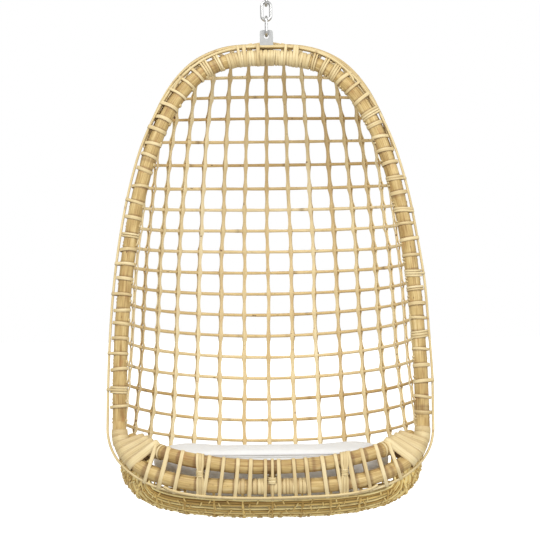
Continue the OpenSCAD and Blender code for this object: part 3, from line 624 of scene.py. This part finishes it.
def cotton(name, colour, weave, height):
    """Woven cover: weave is its threads' angle for each metre, height that of its relief."""
    f = Finish(name, Roughness=0.92, Specular_IOR_Level=0.2, Sheen_Weight=0.25)
    place = f.object_place()
    x, y, z = (f.node("ShaderNodeSeparateXYZ", {}, {0: place}, out=k) for k in range(3))
    warp, weft = (f.node("ShaderNodeMath", {"operation": "SINE"}, {0: angle})
                  for angle in (x * weave, y * weave + z * weave))
    threads = warp * weft
    slow = f.noise(f.scaled(place, (9, 9, 9)), 3, 0.5)
    worn = f.between(slow * 0.7 + threads * 0.12 + 0.15, 0.2, 0.8)
    f.feed("Base Color", f.mix(tuple(c * 0.93 for c in colour), colour, worn))
    f.bump(threads * 0.5 + slow, 0.4, height)
    return f.material


cushion_cotton = cotton("cushion_cotton", (0.79, 0.785, 0.765), 3400, 0.0005)
piping_cotton = cotton("piping_cotton", (0.70, 0.70, 0.70), 3800, 0.0004)

# ---- the lines of the poles
places = np.linspace(-HOOP_L, HOOP_L, math.ceil(2 * HOOP_L / 7.5), endpoint=False)
hoop_line, hoop_outs = hoop_at(places), hoop_out(places)
whole_hoop = np.vstack([hoop_line, hoop_line[:1]])
rail_line = rail_at(np.linspace(-RAIL_END, RAIL_END, 90))
# Where ties lie on the hoop and on the rails: their places and widths, for the painted shade beside
# them on the poles
hoop_ties, rail_crossings = [], []

# ---- rows
ROW_END_GAP = 6
row_bundles = {"back": Bundle(), "seat": Bundle()}
for i, row in enumerate(rows):
    reach = row.half_l - ROW_END_GAP
    s = np.linspace(-reach, reach, int(reach / 7))
    wander = chance.normal(0, 0.5, 9)
    line, outs = row.pt(row.angle(s)), row_out(i, row.angle(s))
    downs = np.cross(outs, unit(np.gradient(line, axis=0)))
    line = line + downs * np.interp(s, np.linspace(-reach, reach, 9), wander)[:, None]
    knots = knots_of(line, 70, 330, 3.2)
    swell = 1 + 0.05 * np.sin(s / 37.0 + i) + 0.05 * np.sin(s / 13.0 + 2 * i) + 0.1 * knots
    part, knots_and_shade = "back", knots
    # The basket's rows carry painted shade along their sides, where they lie against their
    # neighbours
    if i >= SEAT_ROW:
        part, knots_and_shade = "seat", np.maximum(knots[:, None], STRAND_SIDE_SHADE)
    row_bundles[part].strand(line, round_section(ROW_R), outs=outs, swell=swell, knots_and_shade=knots_and_shade)
# The front of the basket is woven closer: one more strand between each two rows, and two
# beside the foot run
basket = row_bundles["seat"]
front = [row.back_s for row in rows if row.back_s > FRONT_FROM]
between = [(a + b) / 2 for a, b in zip(front, front[1:])] + [front[-1] + 13, front[-1] + 25]
for back_s in between:
    row = Row(back_s)
    reach = row.half_l - ROW_END_GAP
    s = np.linspace(-reach, reach, int(row.half_l / 8))
    line = row.pt(row.angle(s)) + [0, 0, 1.0] * wavy(len(s), 12, 0.9)[:, None]
    outs = row_out(ROW_N - 2, row.angle(s))
    # These rows carry painted shade along their sides too
    knots_and_shade = np.maximum(knots_of(line, 40, 160)[:, None], STRAND_SIDE_SHADE)
    basket.strand(line, round_section(ROW_R * chance.uniform(0.8, 1)), outs=outs,
                  swell=1 + 0.12 * np.sin(s / 11.0 + back_s), knots_and_shade=knots_and_shade)
# Small slanting ties hold each two neighbours of the front together
TIE_END_GAP, TIE_GAPS, TIE_SLANTS = 50, (40, 66), (1, 5)
part = np.linspace(-0.12, 1.12, 7)
over = ROW_R + 1.4 - 5.5 * np.maximum(0, np.abs(part - 0.5) - 0.4)
# Painted shade: each tie darkens towards its ends, where it tucks in between the rows, and along
# its sides
basket_tie_shade = np.maximum(np.abs(part - 0.5)[:, None] * 0.9, STRAND_SIDE_SHADE)
front_rows = [Row(back_s) for back_s in sorted(front + between)]
for upper, lower in zip(front_rows, front_rows[1:]):
    place = TIE_END_GAP - upper.half_l + chance.random() * 20
    slant = 1
    while place < upper.half_l - TIE_END_GAP:
        foot = place + slant * chance.uniform(*TIE_SLANTS)
        a, b = upper.pt(upper.angle(place)), lower.pt(lower.angle(foot))
        out = row_out(ROW_N - 2, upper.angle(place))
        line = a + (b - a) * part[:, None] + out * over[:, None]
        basket.strand(line, oval_section(4.0, 2.2, 8), outs=np.tile(out, (7, 1)),
                      tone=chance.uniform(0.3, 0.8), knots_and_shade=basket_tie_shade)
        slant = -slant
        place += chance.uniform(*TIE_GAPS)
row_bundles["back"].make("back_row_strands", row_skin, "row", stands_for=["back_rows"])
basket.make("seat_row_strands", basket_painted_bounce, "row", stands_for=["seat_rows"])

# ---- ribs
# Two flat strands that pinch the rows between them; towards the front they are narrower
RIB_STEPS, RIB_W, RIB_T = 8, 7.6, 3.8
rib_bundles = {name: Bundle() for name in ("inner_back", "outer_back", "inner_seat", "outer_seat")}
for k in range(-SIDE_RIBS, SIDE_RIBS + 1):
    pts, outs, crossed = rib_path(abs(k))
    side = -1 if k < 0 else 1
    pts, outs = pts * [side, 1, 1], outs * [side, 1, 1]
    at_rows = np.arange(len(pts))
    mid = smooth_through(pts, RIB_STEPS)
    share = np.arange(len(mid)) / RIB_STEPS
    out = unit(np.stack([np.interp(share, at_rows, outs[:, c]) for c in range(3)], axis=-1))
    across = unit(np.cross(unit(np.gradient(mid, axis=0)), out))
    crossing = (0.5 + 0.5 * np.cos(2 * math.pi * share)) ** 1.8
    pinch = crossing ** (2.2 if abs(k) > 5 else 1.2) * (0.7 if abs(k) > 6 else 1)
    jog = np.interp(share, at_rows, chance.normal(0, 0.9, len(pts)))
    closer = np.ones(len(share))
    if abs(k) < 8:
        fade = [0, len(crossed) - 5, len(crossed) - 3, 99]
        closer = np.interp(share, fade, [1, 1, 0.56, 0.5])
    split = next((n for n, i in enumerate(crossed) if i >= SEAT_ROW), len(crossed)) + 1
    cut = split * RIB_STEPS - RIB_STEPS // 2
    for name, way in (("inner", -1), ("outer", 1)):
        uneven = np.interp(share, at_rows, chance.normal(0, 0.45, len(pts)))
        width = (RIB_W + 4.2 * crossing) * closer + uneven
        thick = RIB_T - 0.9 * crossing
        slide = np.interp(share, at_rows + 0.5, chance.normal(0, 0.5, len(pts)))
        off = way * (thick / 2 + ROW_R * pinch)
        line = mid + out * off[:, None] + across * (jog + slide)[:, None]
        tone = chance.uniform(0.1, 0.95)
        swell = np.stack([thick, width], axis=1)
        for part, a, b in (("back", 0, cut + 1), ("seat", cut, len(line))):
            if b - a > 2:
                rib_bundles[f"{name}_{part}"].strand(line[a:b], oval_section(1, 1), tone=tone,
                                                     outs=out[a:b] * way, swell=swell[a:b])
for name, bundle in rib_bundles.items():
    # The seat's ribs take the basket's copy, with its painted bounce light
    finish = rib_skin if "back" in name else basket_painted_bounce
    bundle.make(f"{name}_rib_strands", finish, "rib", stands_for=[f"{name}_ribs"])

# ---- trims
trim_off = TRIM_OFF + wavy(len(places), 14, 0.8, True)
trim_line = hoop_line + hoop_outs * trim_off[:, None]
whole_trim = np.vstack([trim_line, trim_line[:1]])
trims = Bundle()
trims.strand(trim_line, round_section(TRIM_R), closed=True, outs=hoop_outs, tone=0.7,
             knots_and_shade=knots_of(trim_line, 60, 300))


def lay(bundle, s, off, turn, tone, wander, gaps, r=TRIM_R):
    """A strand beside the hoop, off from its middle, turned by some degrees to the back."""
    turn = math.radians(turn)
    outs = unit(hoop_out(s) * math.cos(turn) + HOOP_NORMAL * math.sin(turn))
    line = hoop_at(s) + outs * (off + wavy(len(s), *wander))[:, None]
    bundle.strand(line, round_section(r), outs=outs, tone=tone, knots_and_shade=knots_of(line, *gaps))
    return line


def side_strand(bundle, start, end, turn, off, tone):
    """A strand from length start to end, with its two ends drawn in to the hoop."""
    s = np.linspace(start, end, int(abs(end - start) / 7) + 3)
    drawn_in = np.exp(-np.minimum(s - s[0], s[-1] - s) / 16.0)
    off = off - (off - POLE_R - TRIM_R) * drawn_in
    return lay(bundle, s, off, turn, tone, wander=(9, 0.7), gaps=(60, 260))


top_front_line = side_strand(trims, -236, 214, -19, TRIM_OFF + 0.6, tone=0.85)
# Strands along the edge of the roof, outside the hoop, that come down to it at its shoulders:
# how far they reach, how high they rise, their turn and their tone
ROOF_STRANDS = ((352, 24.0, 38, 0.35), (318, 17.5, 30, 0.75), (386, 12.5, 14, 0.55),
                (300, 7.0, 12, 0.2))
for reach, rise, turn, tone in ROOF_STRANDS:
    s = np.linspace(-reach, reach + chance.normal(0, 12), 110)
    lift = np.clip((reach - np.abs(s)) / 190, 0, 1)
    off = POLE_R + TRIM_R + 2.5 + (rise * 0.8) * lift ** 0.7 + 2.0 * lift
    off = off / math.cos(math.radians(turn)) - 4.5 * np.exp(-(s / 70.0) ** 2)
    lay(trims, s, off, turn, tone, wander=(12, 1.1), gaps=(50, 200), r=3.3)
for side in (-1, 1):
    start, end = sorted((side * 40, side * 430))
    # The first strand on each side gets the darkest tone: painted shade, a dark strand standing for
    # the shaded gap between the pole and the trim
    side_strand(trims, start, end, 42, 25.0, tone=0.05)
    side_strand(trims, start + side * 20, end - side * 60, 60, 33.0, tone=0.3)
trims.make("outer_trim_strand", split_cane, "cane", stands_for=["outer_trim"])
low_trim = Bundle()
low_line = side_strand(low_trim, 0.8 * HOOP_L, 1.2 * HOOP_L, 18.5, TRIM_OFF, tone=0.85)
side_strand(low_trim, 0.845 * HOOP_L, 1.16 * HOOP_L, -17, TRIM_OFF, tone=0.55)
low_trim.make("rail_trim_strand", split_cane, "cane", stands_for=["rail_trim"])

# ---- bindings round the hoop
# A strap's thickness, and the lengths from the top where the lashing ends and the corner begins
STRAP_T, LASHING_L, CORNER_FROM = 1.9, 96.0, 1046.0
# A thin core beside the hoop, which most ties go round instead of the trim
CORE_OFF, CORE_R = 18.6, 2.4
core_line = hoop_line + hoop_outs * CORE_OFF
whole_core = np.vstack([core_line, core_line[:1]])


def hoop_ties_down(ties, side):
    """Ties from the lashing down to the corner, by ones, twos and threes, closer at the top."""
    s = LASHING_L + 16
    while s < CORNER_FROM - 12:
        turns = 1 if chance.random() < (0.4 if s < 170 else 0.8) else chance.integers(2, 4)
        tilt, tip = chance.normal(0, 0.09), chance.normal(0, 0.05)
        for turn in range(turns):
            w = chance.uniform(6.4, 9.6) if turns == 1 else chance.uniform(4.6, 6)
            at = side * (s + turn * 5.8)
            normal = hoop_heading(at) + hoop_out(at) * tilt + HOOP_NORMAL * tip
            round_trim = s < 300 or chance.random() < 0.35
            partner = (whole_trim, TRIM_R) if round_trim else (whole_core, CORE_R)
            loop = loop_round(hoop_at(at), normal, [(whole_hoop, POLE_R), partner], 0.4)
            strap(ties, loop, w, STRAP_T, chance.uniform(0.45, 1))
            hoop_ties.append((at, w))
        s += (25 if s < 170 else 30 if s < 400 else 35) + chance.normal(0, 2.6) + turns * 2


def row_end_ties(ties, side):
    """Two thin turns hold the end of each row to the inside of the pole."""
    arc = np.radians(np.linspace(-30, 165, 20))
    for row in rows[:SEAT_ROW + 2]:
        if row.place > LASHING_L + 6:
            for shift in (-2.6, 2.6):
                at = side * (row.place + shift)
                around = HOOP_NORMAL * np.sin(arc)[:, None] - hoop_out(at) * np.cos(arc)[:, None]
                pts = hoop_at(at) + around * (POLE_R + 1.0)
                pts = pts + hoop_heading(at) * (shift * 0.6 * np.cos(arc))[:, None]
                ties.strand(pts, oval_section(4.6, 2.6, 8), outs=unit(pts - hoop_at(at)),
                            tone=chance.uniform(0.3, 0.9))


for side, name in ((-1, "left"), (1, "right")):
    ties = Bundle()
    hoop_ties_down(ties, side)
    row_end_ties(ties, side)
    ties.make(f"hoop_ties_{name}", split_cane, "cane", stands_for=[f"hoop_bindings_{name}"])

# The close lashing: each turn goes round the pole, and some also round the strands beside it.
# In the middle the turns lie over the bolts' heads and end in front of the plate.
PLATE_HALF = 19
lashing = Bundle()
top_strands = [(whole_trim, TRIM_R), (top_front_line, TRIM_R)]
at = -LASHING_L
while at < LASHING_L:
    w = chance.uniform(4.4, 9.0)
    mid = at + w / 2
    lean = chance.normal(0, 0.05)
    thick = chance.uniform(1.5, 2.3)
    if abs(mid) < PLATE_HALF:
        arc = np.radians(np.linspace(-112, 76, 30))
        head = np.exp(-((np.degrees(arc) + 4) / 34.0) ** 2)
        over = 5.2 * head * min(1, (PLATE_HALF - abs(mid)) / 5 + 0.3)
        around = -HOOP_NORMAL * np.cos(arc)[:, None] + np.array([0, 0, 1.0]) * np.sin(arc)[:, None]
        pts = hoop_at(mid) + around * (POLE_R + 0.6 + over)[:, None]
        pts = pts + [1, 0, 0] * (lean * 40 * np.sin(arc))[:, None]
        lashing.strand(pts, strap_section(w * 1.1, thick), outs=around,
                       tone=chance.uniform(0.55, 1))
    else:
        raised = chance.random() < 0.3
        poles = [(whole_hoop, POLE_R)] + (top_strands if raised else [])
        normal = hoop_heading(mid) + hoop_out(mid) * lean
        play = 1.7 if raised else chance.uniform(0.2, 0.9)
        loop = loop_round(hoop_at(mid), normal, poles, play)
        strap(lashing, loop, w, thick, chance.uniform(0.35, 1))
    at += w * 0.94
lashing.make("top_lashing_canes", split_cane, "cane", stands_for=["top_lashing"])

# ---- bindings round both rails
hoop_foot = hoop_at(np.linspace(0.7 * HOOP_L, 1.3 * HOOP_L, 200))
rails = [(rail_line, RAIL_R), (hoop_foot, POLE_R), (whole_trim, TRIM_R), (low_line, TRIM_R)]
rail_ties = Bundle()
# Ties spread a little towards the foot run, and keep clear of the posts
TIE_PITCH, TIE_SPREAD, POST_ROOM = 31.3, 1.055, 12
for i in range(-9, 9):
    x = (i + 0.5) * TIE_PITCH + chance.normal(0, 1.5)
    if min(abs(abs(x) - POST_X), abs(x)) > POST_ROOM:
        w, turn = 8.6 + chance.normal(0, 0.8), chance.normal(0, 1.5)
        high, low = rail_at(x), foot_pole(x * TIE_SPREAD)
        normal = np.cross(high - low, [0, 1, 0]) + np.array([0, 1, 0]) * turn
        loop = loop_round((high + low) / 2, normal, rails, 0.5, steps=56, reach=62)
        strap(rail_ties, loop, w, STRAP_T, chance.uniform(0.4, 1))
        rail_crossings.append((x, x * TIE_SPREAD, w))


def turn_round(x, pole_at, pole, play, w, t, tone):
    """A turn round one of the two front poles."""
    head = pole_at(x + 1) - pole_at(x - 1)
    strap(rail_ties, loop_round(pole_at(x), head, [pole], play, reach=20), w, t, tone)


# Groups of turns round the seat rail near its ends
for side in (-1, 1):
    for i in range(4):
        turn_round(side * (248 + i * 6.2), rail_at, rails[0], 0.5, 5.6, 1.7, chance.uniform(0.5, 1))
# Close turns round the middle of the foot run, with a few left out
x = -82.0
while x < 74:
    w = chance.uniform(6, 10)
    if chance.random() < 0.93:
        play, tone = chance.uniform(0.2, 0.5), chance.uniform(0.1, 0.7)
        turn_round(x, foot_pole, rails[1], play, w, 1.5, tone)
    x += w + chance.uniform(0, 1.6)

# ---- posts between the rails
# Turns over both rails are drawn together between them by four small turns across. The middle
# post has one such turn, and its small turns lie level.
POST_R, POST_SEAT = 7, 2
RING_HALF_Y, RING_STEP = 21.5, 3.6
posts = Bundle()
for x in (-POST_X, 0, POST_X):
    low, high = foot_pole(x), rail_at(x)
    up, middle = unit(high - low), (low + high) / 2
    line = np.linspace(low + up * (POLE_R - POST_SEAT), high - up * (RAIL_R - POST_SEAT), 12)
    posts.strand(line, round_section(POST_R, 16), tone=0.4)
    for off in ((-6, 0, 6) if x else (0,)):
        centre = (rail_at(x + off) + foot_pole(x + off)) / 2
        pts, outs = loop_round(centre, [1.0, 0, 0], rails, 1.0, steps=64, reach=62)
        height = np.clip((pts[:, 2] - FOOT_MID[2] - 10) / RAIL_GAP, 0, 1)
        pts[:, 0] -= off * 0.5 * np.sin(math.pi * height) ** 2
        strap(rail_ties, (pts, outs), 6.6, STRAP_T, chance.uniform(0.4, 0.9))
    ring_half_x, tip, drop = (8.6, 0.12, 0) if x else (10.5, 0.04, 7)
    a = np.arange(28) * 2 * math.pi / 28
    ring = np.stack([ring_half_x * np.cos(a), RING_HALF_Y * spow(np.sin(a), 0.8), 0 * a], axis=1)
    for i in range(4):
        place = middle + up * ((i - 1.5) * RING_STEP - drop)
        tipped = np.stack([0 * a, 0 * a, tip * ring[:, 0] * chance.normal(0, 1)], axis=1)
        rail_ties.strand(place + ring + tipped, oval_section(3.5, 2.4, 8), outs=unit(ring),
                         closed=True, tone=chance.uniform(0.5, 1))
    rail_crossings.append((x, x, 20))


# ---- the poles
def pole(name, node, line, r, tone, gaps, ties, closed=False):
    """A pole with its knots, and painted shade in a band beside each edge of a tie."""
    bundle = Bundle()
    knots = knots_of(line, *gaps, 5.0)
    s = run_lengths(line)
    swell = 1 + 0.018 * np.sin(s / 61.0 + tone * 9) + 0.012 * np.sin(s / 23.0) + 0.045 * knots
    # Painted shade: the pole is darkened beside each edge of a tie
    pole_tie_shade = np.zeros(len(s))
    for at, w in ties:
        beside = (np.abs(s - at) - w / 2) / 3.2
        pole_tie_shade = np.maximum(pole_tie_shade, 0.8 * np.clip(1.2 - beside, 0, 1))
    bundle.strand(line, round_section(r, 20), closed=closed, tone=tone, swell=swell,
                  knots_and_shade=np.maximum(knots, pole_tie_shade))
    bundle.make(name, pole_skin, "pole", stands_for=[node])


fine = np.linspace(0, 2 * HOOP_L, 1000, endpoint=False)
fine_hoop = hoop_at(np.where(fine > HOOP_L, fine - 2 * HOOP_L, fine))
fine_rail = rail_at(np.linspace(-RAIL_END, RAIL_END, 240))
on_hoop = ([(at % (2 * HOOP_L), w) for at, w in hoop_ties]
           + [(foot_place(low), w) for _, low, w in rail_crossings])
on_rail = [(np.interp(high, fine_rail[:, 0], run_lengths(fine_rail)), w)
           for high, _, w in rail_crossings]
pole("hoop_pole", "front_hoop", fine_hoop, POLE_R, 0.45, (170, 320), on_hoop, closed=True)
pole("rail_pole", "seat_rail", fine_rail, RAIL_R, 0.42, (110, 240), on_rail)
posts.make("rail_post_poles", pole_skin, "pole", stands_for=["rail_posts"])
rail_ties.make("rail_ties", split_cane, "cane", stands_for=["rail_bindings"])

# ---- straps round the two corners
# Each strap's height on the hoop, its slope in degrees, its width and its tone
CORNER_STRAPS = ((-943, 3, 17, 0.35), (-956, 11, 20, 0.6), (-968, 19, 21, 0.4),
                 (-980, 26, 21, 0.75), (-991, 32, 21, 0.5), (-1001, 37, 19, 0.85))
hoop_and_rail = [(whole_hoop, POLE_R), (rail_line, RAIL_R)]
for side, name in ((-1, "left"), (1, "right")):
    corner = Bundle()
    for i, (z, slope, w, tone) in enumerate(CORNER_STRAPS):
        at = np.interp(-z, -half_hoop.pts[below_widest, 2], half_hoop.at_l[below_widest])
        slope = math.radians(slope)
        normal = [side * math.sin(slope), 0.25, math.cos(slope)]
        play = 0.5 + (i % 2) * 0.7 + i * 0.12
        loop = loop_round(hoop_at(side * at), normal, hoop_and_rail, play, steps=56, reach=60)
        strap(corner, loop, w, STRAP_T, tone)
    corner.make(f"corner_straps_{name}", split_cane, "cane", stands_for=[f"corner_bands_{name}"])

# ---- the cushion, in metres
CUSHION_HALF_W, CUSHION_HALF_D, CUSHION_MID_Y = 0.282, 0.246, 0.0044
CUSHION_POWER, FULLER_POWER, FULLER_W = 2.6, 2.9, 1.033
# Its side begins at SIDE_Z and is SIDE_H high; under BASKET_Z it lies in the basket
SIDE_Z, SIDE_H, BASKET_Z, BASKET_FADE = -1.235, 0.07, -1.245, 0.05
SHRINK, TRAVEL, TRAVEL_UP, VOXEL = 0.975, 0.014, 0.45, 0.0058
SEAM_Z, SEAM_TILT, PIPING_R = -1.1790, math.tan(math.radians(2.5)), 2.6


def points_of(mesh):
    flat = np.empty(len(mesh.vertices) * 3)
    mesh.vertices.foreach_get("co", flat)
    return flat.reshape(-1, 3)


def settled(piece):
    """The piece's mesh with its modifiers carried out."""
    graph = bpy.context.evaluated_depsgraph_get()
    return bpy.data.meshes.new_from_object(piece.evaluated_get(graph))


def fill_out(cover):
    """Cloth under pressure swells the cover from a smaller form; its travel is capped."""
    even = cover.modifiers.new("even", "REMESH")
    even.mode, even.voxel_size = "VOXEL", VOXEL
    cover.data = settled(cover)
    cover.modifiers.clear()
    start = points_of(cover.data)
    middle = start.mean(axis=0)
    begin = middle + (start - middle) * SHRINK
    cover.data.vertices.foreach_set("co", begin.ravel())
    cloth = cover.modifiers.new("cloth", "CLOTH")
    cloth.settings.use_pressure = True
    cloth.settings.uniform_pressure_force = 4.0
    cloth.settings.quality = 4
    cloth.settings.effector_weights.gravity = 0.0
    cloth.collision_settings.use_collision = False
    for step in range(1, 21):
        scene.frame_set(step)
    end = points_of(settled(cover))
    scene.frame_set(1)
    cover.modifiers.clear()
    caps = np.array([TRAVEL, TRAVEL, TRAVEL * TRAVEL_UP])
    move = caps * np.tanh((end - begin) / caps)
    free = np.clip((start[:, 2:] - BASKET_Z) / BASKET_FADE, 0, 1)
    seated = middle + (start - middle) * 0.995
    placed = begin * free + seated * (1 - free) + move * free
    cover.data.vertices.foreach_set("co", placed.ravel())


def edge_lift(pts):
    """How much higher the front and side edges stand than the plain form."""
    front = np.clip((0.02 - pts[:, 1]) / 0.2, 0, 1)
    ends = np.clip((np.abs(pts[:, 0]) - 0.10) / 0.13, 0, 1)
    rim = np.clip((pts[:, 2] - SIDE_Z) / 0.05, 0, 1)
    lift = np.maximum(0.0095 * front, 0.0115 * ends * ends * (3 - 2 * ends))
    return lift * rim * (3 - 2 * rim) * rim


def fuller(pts):
    """Fills out the plan's corners and the cushion's sides."""
    def round_norm(power):
        return (x ** power + y ** power) ** (1 / power)

    x, y = pts[:, 0] / CUSHION_HALF_W, (pts[:, 1] - CUSHION_MID_Y) / CUSHION_HALF_D
    size = np.maximum(np.hypot(x, y), 1e-6)
    x, y = np.abs(x / size), np.abs(y / size)
    reach = size * round_norm(CUSHION_POWER)
    grow = round_norm(CUSHION_POWER) / round_norm(FULLER_POWER)
    belly = np.sin(math.pi * np.clip((pts[:, 2] - SIDE_Z) / SIDE_H, 0, 1)) ** 2
    grow = grow * np.clip(reach, 0.5, 1) ** (-0.5 * belly)
    wide, deep = pts[:, 0] * grow * FULLER_W, (pts[:, 1] - CUSHION_MID_Y) * grow
    return np.stack([wide, CUSHION_MID_Y + deep, pts[:, 2]], axis=1)


cushion = put("cushion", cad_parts["seat_cushion"].data.copy())
fill_out(cushion)
divide = cushion.modifiers.new("round", "SUBSURF")
divide.levels = divide.render_levels = 1
cushion.data = settled(cushion)
cushion.modifiers.clear()
cover_pts = fuller(points_of(cushion.data))
cover_pts[:, 2] += edge_lift(cover_pts)
cushion.data.vertices.foreach_set("co", cover_pts.ravel())
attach(cushion, "cushion")
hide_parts("seat_cushion")
cushion.data.materials.clear()
cushion.data.materials.append(cushion_cotton)
cushion.data.shade_smooth()

# The piping lies on the cushion's edge, where the cover is widest
a = np.arange(180) * 2 * math.pi / 180
wide, deep = (half * spow(way, 2 / CUSHION_POWER)
              for half, way in ((CUSHION_HALF_W, np.cos(a)), (CUSHION_HALF_D, np.sin(a))))
edge = fuller(np.stack([wide, CUSHION_MID_Y + deep, 0 * a], axis=1))
edge[:, 2] = SEAM_Z - edge[:, 1] * SEAM_TILT
cover = cushion.data
tree = BVHTree.FromPolygons([v.co for v in cover.vertices], [p.vertices for p in cover.polygons])
seam = []
for p in edge:
    away = Vector((p[0], p[1] - CUSHION_MID_Y, 0)).normalized()
    hit = tree.ray_cast(Vector(p) + away * 0.2, -away)[0]
    seam.append((np.array(hit) if hit else p) + np.array(away) * 0.0012)
seam = np.array(seam)
seam[:, 2] += edge_lift(seam)
piping = Bundle()
piping.strand(seam * 1000 - [0, 0, HANG_Z], round_section(PIPING_R), closed=True, tone=0.5)
piping.make("piping", piping_cotton, "piping", body="cushion", stands_for=["cushion_piping"])

# ---- metal
for finish, names in ((plate_steel, ["hanger_plate"]),
                      (link_steel, ["chain_link_top", "chain_link_middle", "chain_link_bottom"]),
                      (fitting_steel, ["ceiling_plate", "swivel_eye", "swivel_nut",
                                       "hanger_bolts", "hanger_nuts"]),
                      (washer_brass, ["thrust_washer"])):
    for name in names:
        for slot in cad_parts[name].material_slots:
            slot.material = finish

# ---- floor, light and camera
# White paper that looks evenly lit, and gives less light than it shows
FLOOR_Z, FLOOR_SIZE, FLOOR_GIVEN, FLOOR_SHOWN = -1.72, 60, (0.12,) * 3, (1.0,) * 3
paper = Finish("floor_paper", Roughness=0.9, Base_Color=(0.45, 0.45, 0.44, 1), Emission_Strength=1)
seen = paper.node("ShaderNodeLightPath", out="Is Camera Ray")
paper.feed("Emission Color", paper.mix(FLOOR_GIVEN, FLOOR_SHOWN, seen))
bpy.ops.mesh.primitive_plane_add(size=FLOOR_SIZE, location=(0, 0, FLOOR_Z))
floor = bpy.context.object
floor.name = "floor"
floor.data.materials.append(paper.material)

# The world's light on the chair, and how bright it looks behind it
WORLD_GIVEN, WORLD_SHOWN = 0.72, 1.0
world = bpy.data.worlds.new("studio")
world.use_nodes = True
nodes, links = world.node_tree.nodes, world.node_tree.links
sky = nodes["Background"]
sky.inputs["Color"].default_value = (1, 1, 1, 1)
path, level = nodes.new("ShaderNodeLightPath"), nodes.new("ShaderNodeMapRange")
level.inputs["To Min"].default_value = WORLD_GIVEN
level.inputs["To Max"].default_value = WORLD_SHOWN
links.new(path.outputs["Is Camera Ray"], level.inputs["Value"])
links.new(level.outputs["Result"], sky.inputs["Strength"])
scene.world = world
scene.view_settings.view_transform = "Standard"


def soft_light(name, at, size, power):
    data = bpy.data.lights.new(name, "AREA")
    data.shape, data.size, data.energy = "SQUARE", size, power
    lamp = put(name, data)
    lamp.location = at
    lamp.rotation_euler = (Vector((0, 0, -0.8)) - Vector(at)).to_track_quat("-Z", "Y").to_euler()


soft_light("key", (-1.5, -3.4, 2.3), 1.8, 118)
soft_light("fill", (2.4, -3.4, 0.4), 2.2, 66)

# The lens, as a focal length of 1507 pixels in a frame 540 pixels wide
SENSOR_W, FOCAL_PX, FRAME_PX = 36, 1507, 540
camera_data = bpy.data.cameras.new("camera")
camera_data.lens, camera_data.sensor_width = SENSOR_W * FOCAL_PX / FRAME_PX, SENSOR_W
camera = put("camera", camera_data)
camera.location = (-0.035, -3.6188, -0.811)
camera.rotation_euler = (math.radians(90 + 1.14), 0.011, -0.01014)
bpy.context.scene.camera = camera
